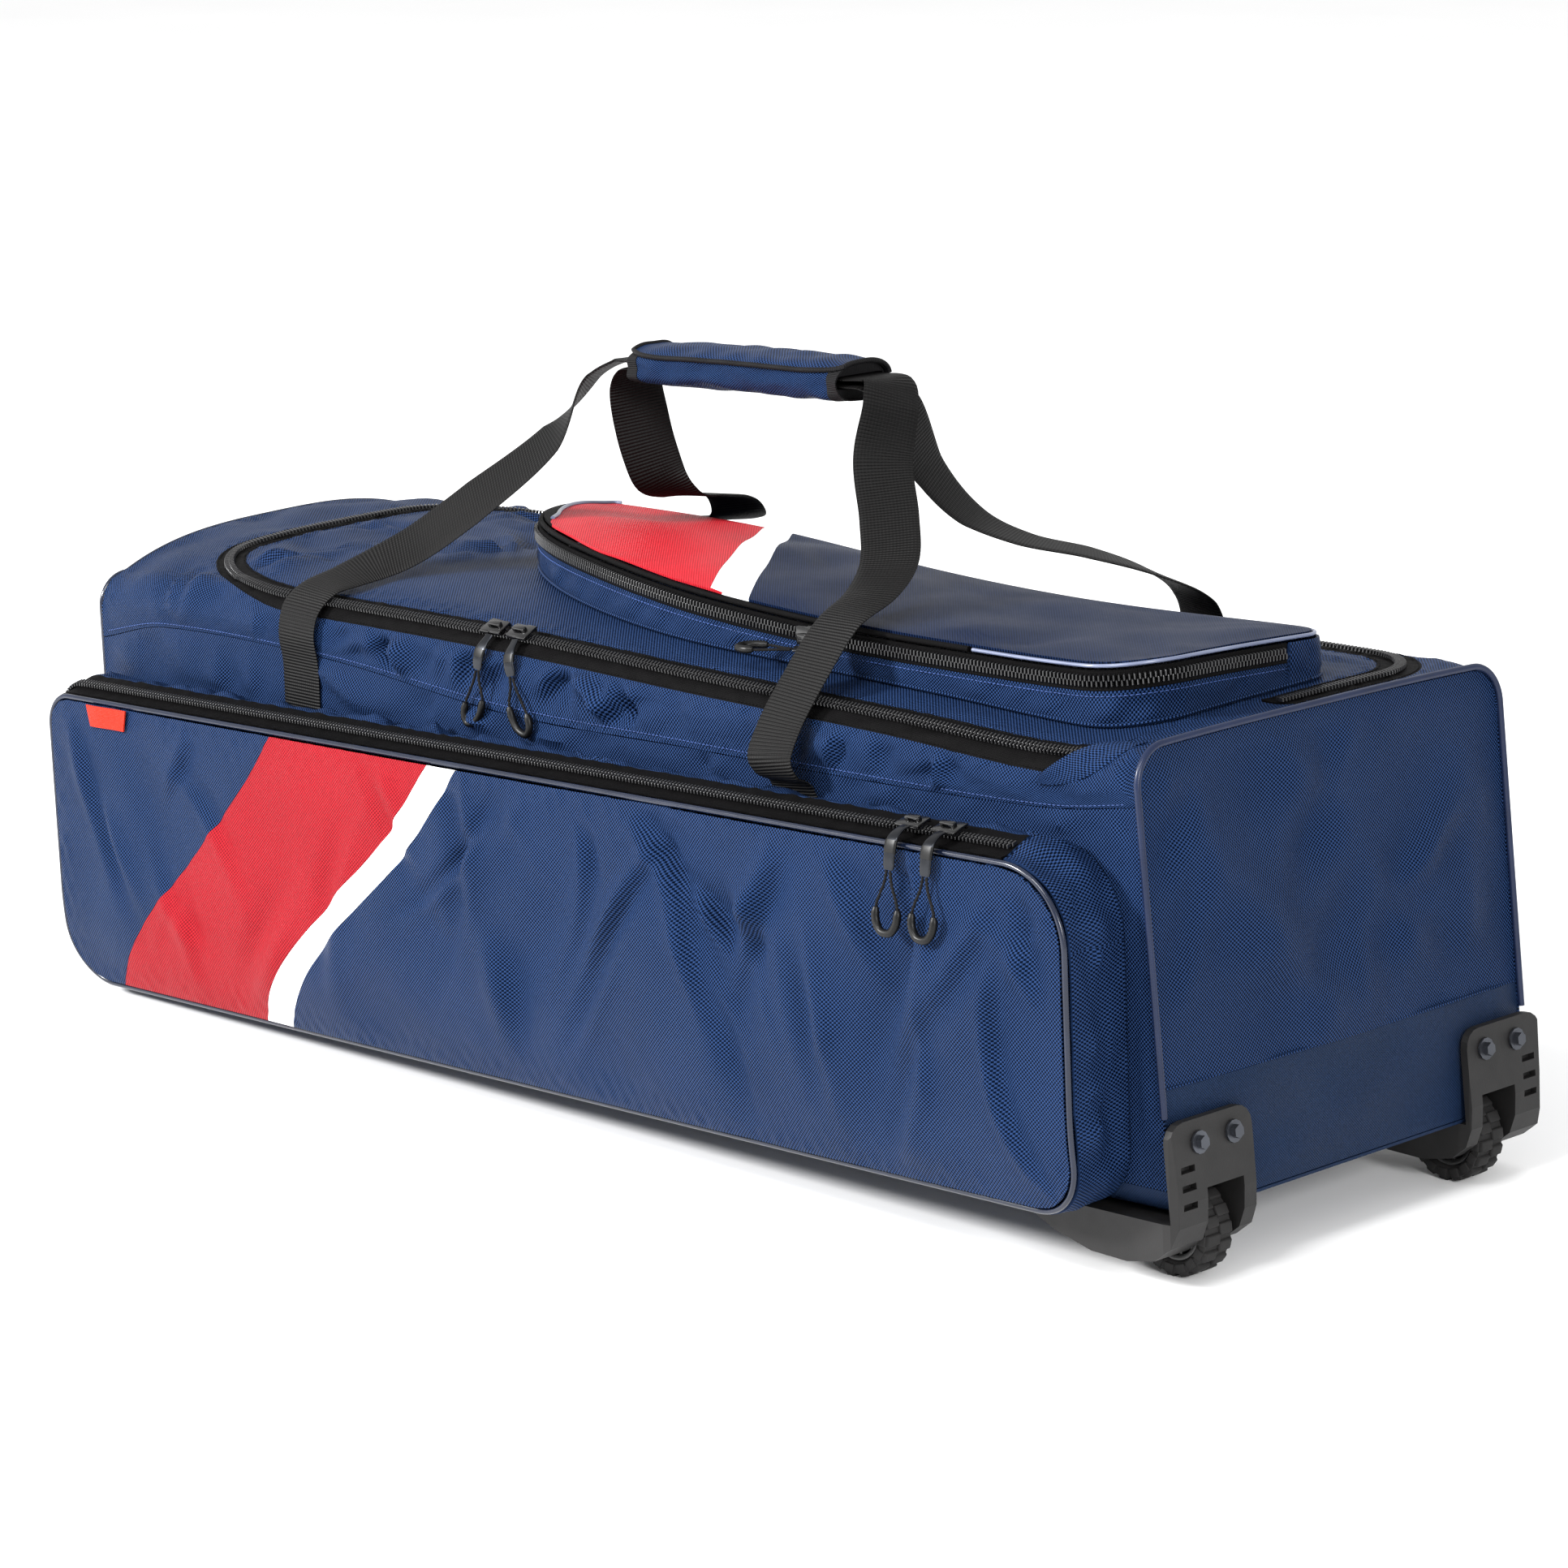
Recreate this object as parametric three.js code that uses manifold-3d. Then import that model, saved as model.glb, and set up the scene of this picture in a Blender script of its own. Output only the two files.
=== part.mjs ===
// A soft wheeled holdall: sewn body, zipped lid, front and top pockets, straps and two wheels.
// The bag is built level in its own frame, with x along its length towards the wheels, y towards
// its back and z up from its base. The whole of it is then tilted on to its wheels.
import * as THREE from "three";
import { mergeVertices } from "three/addons/utils/BufferGeometryUtils.js";
import Module from "manifold-3d";

const wasm = await Module();
wasm.setup();

// Driving dimensions, in millimetres
const CLOTH = 2;
const GAP = 0.4;
const SEAM_GAP = 1.4;
const FAR_X = -524;
const WHEEL_END_X = 500;
const FAR_LEAN = 2;
const WHEEL_END_LEAN = 20;
const END_HEIGHT = 279;
const BASE_R = 20;
const KICK_TOP = 80;
const BASE_STEP = { from: 402, to: 410, lift: 3 };
const SHOULDER_R = 24;
const PIPING_R = 2.2;
const CHAIN = { half: 4, top: 2.5, height: 2.4, lift: 0.7 };

// The body's section at stations along its length: the walls, the two shoulders of the top, the
// rise of the top between them, and the height of the seam under the shoulders.
const BODY = [
  { x: -524, wall: 160, front: 278, back: 289, rise: 32, seam: 246 },
  { x: -440, wall: 166, front: 291, back: 299, rise: 20, seam: 262 },
  { x: -250, wall: 167, front: 288, back: 293, rise: 21, seam: 258 },
  { x: -60, wall: 167, front: 284, back: 287, rise: 20, seam: 240 },
  { x: 110, wall: 167, front: 277, back: 280, rise: 18, seam: 238 },
  { x: 290, wall: 167, front: 272, back: 280, rise: 12, seam: 236 },
  { x: 430, wall: 166, front: 267, back: 279, rise: 9, seam: 238 },
  { x: 500, wall: 165, front: 279, back: 279, rise: 2, seam: 246 },
];
// Path lengths across the top: wall, shoulder, top, shoulder, wall
const ACROSS = { wall: 20, shoulder: 40, top: 280 };
const TOP_SPAN = 2 * (ACROSS.wall + ACROSS.shoulder) + ACROSS.top;

// The lid's zip, seen from above: the tape lies between the two outlines
const LID_IN = { x0: -425, x1: 446, y0: -142, y1: 122 };
const LID_OUT = { x0: -451, x1: 472, y0: -163.5, y1: 150 };
const LID_R = { farBack: 70, farFront: [124, 54], wheelBack: 45, wheelFront: 8, tape: 26 };
const LID_HINGE = { x: 448, y: -15 };
const LID_CHAIN = { x0: -438, x1: 479, y0: 48, y1: 333, end: 185 };
const LID_CHAIN_R = { farBack: 82, farFront: [137, 68], wheelBack: 55, wheelFront: 14 };
const MAIN_SLIDERS = [-82, -56];

// Front pocket
const POCKET = { x0: -519, x1: 470, y0: 4, y1: 217 };
const POCKET_RADII = [50, 25, 45, 38];
const POCKET_FACE_Y = -215;
const POCKET_TUCK = { height: 75, depth: 9 };
const POCKET_TAPE = 24;
const POCKET_ZIP = { right: 418, farBottom: 60 };
const POCKET_SLIDERS = [336, 366];
const STRIPE = { redTop: -257, redFoot: -461, redWidth: 166, whiteWidth: 29 };
const TAB = { x: -444, width: 46, height: 15, thick: 1.2 };

// Top pocket
const TOP_POCKET = { x0: -230, x1: 438, y0: -115, y1: 65 };
const TOP_RADII = [25, 10, [310, 168], 45];
const TOP_HEIGHT = [
  { x: -230, height: 27 },
  { x: -60, height: 27 },
  { x: 140, height: 20 },
  { x: 260, height: 20 },
  { x: 438, height: 28 },
];
const TOP_LIFT = 12;
const TOP_BULGE = 5;
const TOP_TAPE = 12;
const TOP_STRIPE = { redBack: -62, redFront: 72, whiteBack: 26, whiteFront: 36 };
const TOP_ZIP_BACK_Y = 20;
const TOP_SLIDER_X = 168;

// Webbing and grip
const WEBBING = { width: 38, thick: 2 };
const WRAP = { x0: -96, x1: 99, y: 0, z: 450, half: 25, height: 13, slotHalf: 21, slotHeight: 4.2 };

// Wheels and their housings at the corners of the wheel end
const WHEEL = { r: 29, width: 25, x: 475, y: 127, z: -13, rim: 19.2, lugs: 16, lugDepth: 2 };
const AXLE_R = 4;
const WELL = { x0: 441, half: 16, top: 20, wall: 2.5 };
const PLATE = { y0: 100, y1: 172, top: 62, seat: 4.5, outer: 13, inner: 12 };
const AXLE_HALF = 20;
const BOLT = { y: [147, 117], z: 48, washer: 7, head: 4.2 };
const SLOT = { y0: 152, y1: 164, z: [34, 23, 12], height: 4 };
// The moulding's outline from the side: down the plate on the wheel end and round under the base
const SHOE = [
  [505, 62], [509, 14], [508.5, 0], [504, -12], [492, -21],
  [470, -25], [442, -24], [414, -17], [394, -8], [380, -1],
];

// Colours
const NAVY = 0x1d3a6e;
const RED = 0xc92a35;
const WHITE = 0xf2f2f0;
const BLACK = 0x1c1a1a;
const cloth = (color) => new THREE.MeshStandardMaterial({ color, roughness: 0.8, metalness: 0 });
const glossy = (color) => new THREE.MeshStandardMaterial({ color, roughness: 0.35, metalness: 0 });
const metal = (color) => new THREE.MeshStandardMaterial({ color, roughness: 0.3, metalness: 1 });

const { lerp, clamp, degToRad } = THREE.MathUtils;
const point = (x, y, z) => new THREE.Vector3(x, y, z);
const X_AXIS = point(1, 0, 0);
const Y_AXIS = point(0, 1, 0);
const bag = new THREE.Group();

function addPiece(name, geometry, material, parent = bag) {
  const mesh = new THREE.Mesh(geometry, material);
  mesh.name = name;
  parent.add(mesh);
  return mesh;
}

// Reads one named column of a table at x, by a smooth curve through its rows
function read(table, key, x) {
  const last = table.length - 1;
  const at = clamp(x, table[0].x, table[last].x);
  let k = 0;
  while (k < last - 1 && at > table[k + 1].x) k += 1;
  const slope = (i) => {
    const a = table[Math.max(i - 1, 0)];
    const b = table[Math.min(i + 1, last)];
    return (b[key] - a[key]) / (b.x - a.x);
  };
  const span = table[k + 1].x - table[k].x;
  const t = (at - table[k].x) / span;
  const rise = t * t * (3 - 2 * t);
  const start = t * (1 - t) * (1 - t) * span * slope(k);
  const end = t * t * (t - 1) * span * slope(k + 1);
  return lerp(table[k][key], table[k + 1][key], rise) + start + end;
}

// Closed solids from grids

function solid(vertices, faces) {
  const flat = vertices.flatMap((v) => [v.x, v.y, v.z]);
  let volume = 0;
  for (const [a, b, c] of faces) {
    volume += vertices[a].dot(vertices[b].clone().cross(vertices[c]));
  }
  const index = faces.flatMap(([a, b, c]) => (volume > 0 ? [a, b, c] : [a, c, b]));
  const geometry = new THREE.BufferGeometry();
  geometry.setAttribute("position", new THREE.Float32BufferAttribute(flat, 3));
  geometry.setIndex(index);
  return geometry;
}

// A wall between two grids of points of the same size; wrap joins the last row to the first
function wall(outer, inner, wrap = false) {
  const rows = outer.length;
  const columns = outer[0].length;
  const vertices = [...outer.flat(), ...inner.flat()];
  const shift = rows * columns;
  const id = (i, j) => (i % rows) * columns + j;
  const faces = [];
  const quad = (a, b, c, d) => faces.push([a, b, c], [a, c, d]);
  const lastRow = wrap ? rows : rows - 1;
  for (let i = 0; i < lastRow; i++) {
    for (let j = 0; j < columns - 1; j++) {
      quad(id(i, j), id(i + 1, j), id(i + 1, j + 1), id(i, j + 1));
      quad(shift + id(i, j), shift + id(i, j + 1), shift + id(i + 1, j + 1), shift + id(i + 1, j));
    }
    const top = columns - 1;
    quad(id(i, 0), shift + id(i, 0), shift + id(i + 1, 0), id(i + 1, 0));
    quad(id(i + 1, top), shift + id(i + 1, top), shift + id(i, top), id(i, top));
  }
  if (!wrap) {
    for (let j = 0; j < columns - 1; j++) {
      quad(id(0, j + 1), shift + id(0, j + 1), shift + id(0, j), id(0, j));
      quad(id(rows - 1, j), shift + id(rows - 1, j), shift + id(rows - 1, j + 1), id(rows - 1, j + 1));
    }
  }
  return solid(vertices, faces);
}

// A grid of surface points and its copy one cloth thickness further in, away from `outward`
function sheetGrids(rows, columns, surface, outward, thick = CLOTH) {
  const outer = [];
  for (let i = 0; i <= rows; i++) {
    outer.push([]);
    for (let j = 0; j <= columns; j++) outer[i].push(surface(i / rows, j / columns));
  }
  const inner = outer.map((row, i) =>
    row.map((p, j) => {
      const along = outer[Math.min(i + 1, rows)][j].clone().sub(outer[Math.max(i - 1, 0)][j]);
      const over = row[Math.min(j + 1, columns)].clone().sub(row[Math.max(j - 1, 0)]);
      const normal = along.cross(over).normalize();
      if (normal.dot(outward(p)) < 0) normal.negate();
      return p.clone().addScaledVector(normal, -thick);
    }),
  );
  return [outer, inner];
}

function sheet(rows, columns, surface, outward, thick) {
  return wall(...sheetGrids(rows, columns, surface, outward, thick));
}

// A convex section, given as pairs along the frame's axes a and b, carried along frames
function sweep(frames, section, closed = false) {
  const sectionAt = typeof section === "function" ? section : () => section;
  const count = sectionAt(0).length;
  const vertices = frames.flatMap((f, i) =>
    sectionAt(i).map(([a, b]) => f.p.clone().addScaledVector(f.a, a).addScaledVector(f.b, b)),
  );
  const faces = [];
  const rings = closed ? frames.length : frames.length - 1;
  for (let i = 0; i < rings; i++) {
    const near = i * count;
    const far = ((i + 1) % frames.length) * count;
    for (let j = 0; j < count; j++) {
      const k = (j + 1) % count;
      if (j < count / 2) faces.push([near + j, near + k, far + k], [near + j, far + k, far + j]);
      else faces.push([near + j, near + k, far + j], [near + k, far + k, far + j]);
    }
  }
  if (!closed) {
    const end = (frames.length - 1) * count;
    for (let j = 1; j < count - 1; j++) {
      faces.push([0, j + 1, j], [end, end + j, end + j + 1]);
    }
  }
  return solid(vertices, faces);
}

function circle(radius, sides) {
  return Array.from({ length: sides }, (_, i) => {
    const a = (2 * Math.PI * (i + 0.5)) / sides;
    return [radius * Math.cos(a), radius * Math.sin(a)];
  });
}

// Frames along points, with axis b as near as it can be to the given direction
function framesAlong(points, direction, closed = false) {
  const n = points.length;
  return points.map((p, i) => {
    const before = closed ? points[(i + n - 1) % n] : points[Math.max(i - 1, 0)];
    const after = closed ? points[(i + 1) % n] : points[Math.min(i + 1, n - 1)];
    const tangent = after.clone().sub(before).normalize();
    const wanted = typeof direction === "function" ? direction(i) : direction;
    const b = wanted.clone().addScaledVector(tangent, -wanted.dot(tangent)).normalize();
    return { p, a: tangent.cross(b), b };
  });
}

// Joins and cuts

function toManifold(geometry) {
  const bare = geometry.clone();
  bare.deleteAttribute("normal");
  bare.deleteAttribute("uv");
  const merged = mergeVertices(bare, 1e-4);
  return new wasm.Manifold(
    new wasm.Mesh({
      numProp: 3,
      vertProperties: new Float32Array(merged.attributes.position.array),
      triVerts: new Uint32Array(merged.index.array),
    }),
  );
}

function fromManifold(shape) {
  const mesh = shape.getMesh();
  const geometry = new THREE.BufferGeometry();
  geometry.setAttribute("position", new THREE.Float32BufferAttribute(mesh.vertProperties, 3));
  geometry.setIndex([...mesh.triVerts]);
  return geometry;
}

function cut(geometry, ...tools) {
  return fromManifold(tools.reduce((left, tool) => left.subtract(toManifold(tool)), toManifold(geometry)));
}

function common(geometry, tool) {
  return fromManifold(toManifold(geometry).intersect(toManifold(tool)));
}

function join(...geometries) {
  return fromManifold(geometries.map(toManifold).reduce((all, next) => all.add(next)));
}

// A straight prism on an outline in the plane "xy", "xz" or "yz", between two heights over it
function prism(outline, lo, hi, plane) {
  const shape = new THREE.Shape(outline.map(([a, b]) => new THREE.Vector2(a, b)));
  const geometry = new THREE.ExtrudeGeometry(shape, { depth: hi - lo, bevelEnabled: false });
  geometry.translate(0, 0, lo);
  const axes = {
    xy: [X_AXIS, Y_AXIS, point(0, 0, 1)],
    xz: [X_AXIS, point(0, 0, 1), Y_AXIS],
    yz: [Y_AXIS, point(0, 0, 1), X_AXIS],
  }[plane];
  geometry.applyMatrix4(new THREE.Matrix4().makeBasis(...axes));
  geometry.deleteAttribute("normal");
  geometry.deleteAttribute("uv");
  const merged = mergeVertices(geometry, 1e-4);
  const order = plane === "xz" ? [0, 2, 1] : [0, 1, 2];
  const old = merged.index.array;
  merged.setIndex(Array.from(old, (_, i) => old[i - (i % 3) + order[i % 3]]));
  return merged;
}

function box(x0, x1, y0, y1, z0, z1) {
  const geometry = new THREE.BoxGeometry(x1 - x0, y1 - y0, z1 - z0);
  return geometry.translate((x0 + x1) / 2, (y0 + y1) / 2, (z0 + z1) / 2);
}

// Rounded outlines

// Points round a rectangle, with their outward normals; radii run from the corner (x1, y1) round to
// (x0, y1), (x0, y0) and (x1, y0), and a pair of them makes an oval corner
function roundedLoop({ x0, x1, y0, y1 }, radii, arcSteps = 4, maxStep = 70, grow = 0) {
  const corners = [[x1, y1, 1, 1], [x0, y1, -1, 1], [x0, y0, -1, -1], [x1, y0, 1, -1]];
  const arcs = corners.map(([x, y, sx, sy], k) =>
    Array.from({ length: arcSteps + 1 }, (_, i) => {
      const angle = (Math.PI / 2) * (k + i / arcSteps);
      const [rx, ry] = Array.isArray(radii[k]) ? radii[k] : [radii[k], radii[k]];
      const c = Math.cos(angle);
      const s = Math.sin(angle);
      const length = Math.hypot(c * ry, s * rx);
      const nx = (c * ry) / length;
      const ny = (s * rx) / length;
      return { x: x - sx * rx + rx * c + grow * nx, y: y - sy * ry + ry * s + grow * ny, nx, ny };
    }),
  );
  return arcs.flatMap((arc, k) => {
    const start = arc[arcSteps];
    const end = arcs[(k + 1) % 4][0];
    const steps = Math.max(1, Math.ceil(Math.hypot(end.x - start.x, end.y - start.y) / maxStep));
    const between = Array.from({ length: steps - 1 }, (_, i) => ({
      ...start,
      x: lerp(start.x, end.x, (i + 1) / steps),
      y: lerp(start.y, end.y, (i + 1) / steps),
    }));
    return [...arc, ...between];
  });
}

// The loop with one more point, on one of its straight sides
function withPoint(loop, x, y) {
  const onSide = (p, q) => {
    const around = Math.hypot(p.x - x, p.y - y) + Math.hypot(q.x - x, q.y - y);
    return around - Math.hypot(q.x - p.x, q.y - p.y) < 1e-6;
  };
  const k = loop.findIndex((p, i) => onSide(p, loop[(i + 1) % loop.length]));
  return [...loop.slice(0, k + 1), { ...loop[k], x, y }, ...loop.slice(k + 1)];
}

const outlineOf = (loop) => loop.map((p) => [p.x, p.y]);

// The run of a loop's points that pass a test, and the run of those that fail it, which starts and
// ends a small gap away from the first
function splitLoop(loop, test) {
  const n = loop.length;
  const start = loop.findIndex((p, i) => test(p) && !test(loop[(i + n - 1) % n]));
  const turned = [...loop.slice(start), ...loop.slice(0, start)];
  const count = turned.findIndex((p) => !test(p));
  const run = turned.slice(0, count);
  const rest = turned.slice(count);
  const beside = (p, q) => {
    const far = Math.hypot(q.x - p.x, q.y - p.y);
    return { ...p, x: lerp(p.x, q.x, GAP / far), y: lerp(p.y, q.y, GAP / far) };
  };
  return [run, [beside(run[count - 1], rest[0]), ...rest, beside(run[0], rest[rest.length - 1])]];
}

// The body's surfaces

function leanX(station, z) {
  const far = FAR_X + (FAR_LEAN * z) / END_HEIGHT;
  const wheel = WHEEL_END_X - (WHEEL_END_LEAN * z) / END_HEIGHT;
  return lerp(far, wheel, (station - FAR_X) / (WHEEL_END_X - FAR_X));
}

function stationAt(x, z) {
  const far = leanX(FAR_X, z);
  return lerp(FAR_X, WHEEL_END_X, (x - far) / (leanX(WHEEL_END_X, z) - far));
}

function topHeight(station, y) {
  const half = read(BODY, "wall", station);
  const t = (y + half) / (2 * half);
  const line = lerp(read(BODY, "front", station), read(BODY, "back", station), t);
  return line + read(BODY, "rise", station) * (1 - Math.abs(2 * t - 1) ** 3);
}

// A point of the top at a distance s across it, from the front seam to the back seam
function topPoint(station, s) {
  const side = s < TOP_SPAN / 2 ? -1 : 1;
  const d = s < TOP_SPAN / 2 ? s : TOP_SPAN - s;
  const half = read(BODY, "wall", station);
  const flat = half - SHOULDER_R;
  const foot = topHeight(station, side * flat) - SHOULDER_R;
  let y = side * half;
  let z = lerp(read(BODY, "seam", station), foot, Math.min(d / ACROSS.wall, 1));
  if (d > ACROSS.wall) {
    const angle = (Math.min((d - ACROSS.wall) / ACROSS.shoulder, 1) * Math.PI) / 2;
    y = side * (half - SHOULDER_R * (1 - Math.cos(angle)));
    z = foot + SHOULDER_R * Math.sin(angle);
  }
  if (d > ACROSS.wall + ACROSS.shoulder) {
    y = lerp(-flat, flat, (s - ACROSS.wall - ACROSS.shoulder) / ACROSS.top);
    z = topHeight(station, y);
  }
  return point(leanX(station, z), y, z);
}

function topNormal(station, s) {
  const along = topPoint(station + 2, s).sub(topPoint(station - 2, s));
  return along.cross(topPoint(station, s + 2).sub(topPoint(station, s - 2))).normalize();
}

const overTop = (station, s, height) => topPoint(station, s).addScaledVector(topNormal(station, s), height);

const stepOf = (steps, t) => steps[Math.round(t * (steps.length - 1))];
const awayFromAxis = (p) => point(0, p.y, p.z - END_HEIGHT / 2);
const STATIONS = [-524, -482, -440, -345, -250, -155, -60, 110, 200, 290, 360, 430, 465, 500];

function bodyWall(side) {
  return sheet(
    STATIONS.length - 1,
    3,
    (u, v) => {
      const station = stepOf(STATIONS, u);
      const z = lerp(BASE_R + SEAM_GAP, read(BODY, "seam", station) - SEAM_GAP, v);
      return point(leanX(station, z), side * read(BODY, "wall", station), z);
    },
    () => point(0, side, 0),
  );
}

// The base is flat, with rounded edges; it steps up where the wheel housings lie under it
const BASE_STATIONS = [FAR_X, -440, -250, 110, BASE_STEP.from, BASE_STEP.to, WHEEL_END_X];
const BASE_ANGLES = [0, 30, 60, 90].map(degToRad);
function basePoint(station, side, angle) {
  const lift = station >= BASE_STEP.to ? BASE_STEP.lift : 0;
  const z = BASE_R - (BASE_R - lift) * Math.sin(angle);
  const y = side * (read(BODY, "wall", station) - BASE_R * (1 - Math.cos(angle)));
  return point(leanX(station, z), y, z);
}

// The notch that each wheel's well takes out of the base and of the wheel end
function wellNotch(side) {
  const y = side * WHEEL.y;
  const half = WELL.half + WELL.wall + GAP;
  const x0 = WELL.x0 - WELL.wall - GAP;
  return box(x0, WHEEL_END_X + 30, y - half, y + half, -30, WELL.top + WELL.wall + GAP);
}

const notches = [-1, 1].map(wellNotch);
addPiece("front_wall", bodyWall(-1), cloth(NAVY));
addPiece("back_wall", bodyWall(1), cloth(NAVY));
const baseSteps = [...BASE_ANGLES.map((a) => [-1, a]), ...BASE_ANGLES.map((a) => [1, a]).reverse()];
const base = sheet(
  BASE_STATIONS.length - 1,
  baseSteps.length - 1,
  (u, v) => basePoint(stepOf(BASE_STATIONS, u), ...stepOf(baseSteps, v)),
  () => point(0, 0, -1),
);
addPiece("base_panel", cut(base, ...notches), cloth(NAVY));

// Each end panel lies inside the ends of the walls, crowned at its middle; low and high say whether
// it has the rounded corners of the base and of the top
function endPanel(station, outwardX, crown, { low, high, lift = 0 }) {
  const inset = CLOTH + GAP;
  const half = read(BODY, "wall", station) - inset;
  const top = Math.min(read(BODY, "front", station), read(BODY, "back", station)) - inset;
  const rise = read(BODY, "rise", station);
  const tilt = read(BODY, "back", station) - read(BODY, "front", station);
  const foot = BASE_R - inset;
  const shoulder = SHOULDER_R - inset;
  const angles = [0, 30, 60, 90].map(degToRad);
  const rows = [];
  if (low) angles.forEach((a) => rows.push([BASE_R - (foot - lift) * Math.cos(a), foot * (1 - Math.sin(a))]));
  rows.push([low ? (high ? top / 2 : KICK_TOP) : KICK_TOP + GAP, 0]);
  if (!low) rows.push([top * 0.65, 0]);
  const bend = (a) => [top - shoulder * (1 - Math.sin(a)), shoulder * (1 - Math.cos(a))];
  if (high) rows.push(...angles.map(bend));
  const surface = (v, u) => {
    const [z, trim] = stepOf(rows, v);
    const y = lerp(-1, 1, u) * (half - trim);
    const across = 1 - (y / half) ** 2;
    const up = Math.max(0, z / top - 0.5) * 2;
    const raised = z + up * up * (rise * across + tilt * clamp((y + half) / (2 * half), 0, 1) * 0.9);
    const bulge = crown * across * Math.sin((Math.PI * z) / top);
    return point(leanX(station, raised) + outwardX * (bulge - GAP), y, raised);
  };
  return sheet(rows.length - 1, 6, surface, () => point(outwardX, 0, 0));
}

addPiece("far_end_panel", endPanel(FAR_X, -1, 7, { low: true, high: true }), cloth(NAVY));
addPiece("wheel_end_panel", endPanel(WHEEL_END_X, 1, 6, { low: false, high: true }), cloth(NAVY));
const kick = endPanel(WHEEL_END_X, 1, 6, { low: true, high: false, lift: BASE_STEP.lift });
addPiece("wheel_end_kick_panel", cut(kick, ...notches), cloth(NAVY));

// Piping along the edge of an end: up the front, over the top and down the back
function endPiping(station, outwardX, footZ) {
  const path = [];
  const wallAt = (side, z) => point(leanX(station, z), side * read(BODY, "wall", station), z);
  const seam = read(BODY, "seam", station);
  const foot = [0, 0.5].map((t) => lerp(footZ, seam, t));
  path.push(...foot.map((z) => wallAt(-1, z)));
  const across = [0, 20, 30, 40, 50, 60, 130, 200, 270, 340, 350, 360, 370, 380, 400];
  path.push(...across.map((s) => topPoint(station, s)));
  path.push(...foot.reverse().map((z) => wallAt(1, z)));
  const reach = (PIPING_R + GAP) * Math.SQRT1_2;
  const seated = path.map((p) => {
    const flat = awayFromAxis(p);
    const away = point(0, clamp(flat.y / 150, -1, 1) ** 7, clamp(flat.z / 150, 0, 1) ** 7).normalize();
    return p.clone().addScaledVector(away, reach).add(point(outwardX * (reach + 0.3), 0, 0));
  });
  return sweep(framesAlong(seated, X_AXIS), circle(PIPING_R, 5));
}

addPiece("far_end_piping", endPiping(FAR_X, -1, BASE_R + 4), glossy(0x1a2340));
addPiece("wheel_end_piping", endPiping(WHEEL_END_X, 1, PLATE.top + 6), glossy(0x1a2340));

// The top: one sheet, cut along the zip into the border, the tape, the hinge and the lid
const ACROSS_STEPS = [0, 20, 33, 46, 60, 130, 200, 270, 340, 354, 367, 380, 400];
const top = sheet(
  STATIONS.length - 1,
  ACROSS_STEPS.length - 1,
  (u, v) => topPoint(stepOf(STATIONS, u), stepOf(ACROSS_STEPS, v)),
  awayFromAxis,
);
function zipPrism(rect, extra, grow) {
  const corners = [LID_R.wheelBack, LID_R.farBack, LID_R.farFront, LID_R.wheelFront];
  const radii = corners.map((r) => [r, r].flat().map((v) => v + extra));
  return prism(outlineOf(roundedLoop(rect, radii, 5, 2000, grow)), 200, 360, "xy");
}
const tapeRing = cut(common(top, zipPrism(LID_OUT, LID_R.tape, 0)), zipPrism(LID_IN, 0, 0));
const hingeBox = (grow) => box(LID_HINGE.x - grow, LID_OUT.x1 + 30, -180, LID_HINGE.y + grow, 200, 360);
addPiece("top_border", cut(top, zipPrism(LID_OUT, LID_R.tape, GAP)), cloth(NAVY));
addPiece("main_zip_tape", cut(tapeRing, hingeBox(GAP)), cloth(BLACK));
addPiece("lid_hinge", common(tapeRing, hingeBox(0)), cloth(NAVY));
addPiece("lid_panel", common(top, zipPrism(LID_IN, 0, -GAP)), cloth(NAVY));

const chainSection = [
  [-CHAIN.half, 0],
  [CHAIN.half, 0],
  [CHAIN.top, CHAIN.height],
  [-CHAIN.top, CHAIN.height],
];
const lidLoop = roundedLoop(
  LID_CHAIN,
  [LID_CHAIN_R.wheelBack, LID_CHAIN_R.farBack, LID_CHAIN_R.farFront, LID_CHAIN_R.wheelFront],
  5,
  70,
);
const [, lidRun] = splitLoop(lidLoop, (p) => p.x > LID_CHAIN.x1 - 16 && p.y < LID_CHAIN.end);
const lidChainPoints = lidRun.map((p) => overTop(p.x, p.y, CHAIN.lift));
const lidChainFrames = framesAlong(lidChainPoints, (i) => topNormal(lidRun[i].x, lidRun[i].y));
addPiece("main_zip_chain", sweep(lidChainFrames, chainSection), glossy(BLACK));

// Zip sliders, tabs and pull cords

const SLIDER = { length: 13, width: 12, height: 5 };
const SLIDER_LIFT = CHAIN.lift + CHAIN.height + GAP;

// A slider lies over its chain, with its narrow end forwards, at a place with axes along the zip,
// across it and away from the tape
function slider(name, place, along, across, away) {
  const l = SLIDER.length / 2;
  const w = SLIDER.width / 2;
  const outline = [[-l, -w * 0.6], [l * 0.4, -w], [l, -w * 0.8], [l, w * 0.8], [l * 0.4, w], [-l, w * 0.6]];
  const body = prism(outline, 0, SLIDER.height * 0.55, "xy");
  const bridge = box(-l * 0.6, l * 0.5, -2, 2, SLIDER.height * 0.4, SLIDER.height);
  const geometry = join(body, bridge);
  const matrix = new THREE.Matrix4().makeBasis(along, across, away).setPosition(place);
  addPiece(name, geometry.applyMatrix4(matrix), glossy(BLACK));
}

const TAB_SECTION = { half: 4.5, thick: 0.9 };
const CORD = { r: 0.9, grip: 2.6, sides: 4 };

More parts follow.
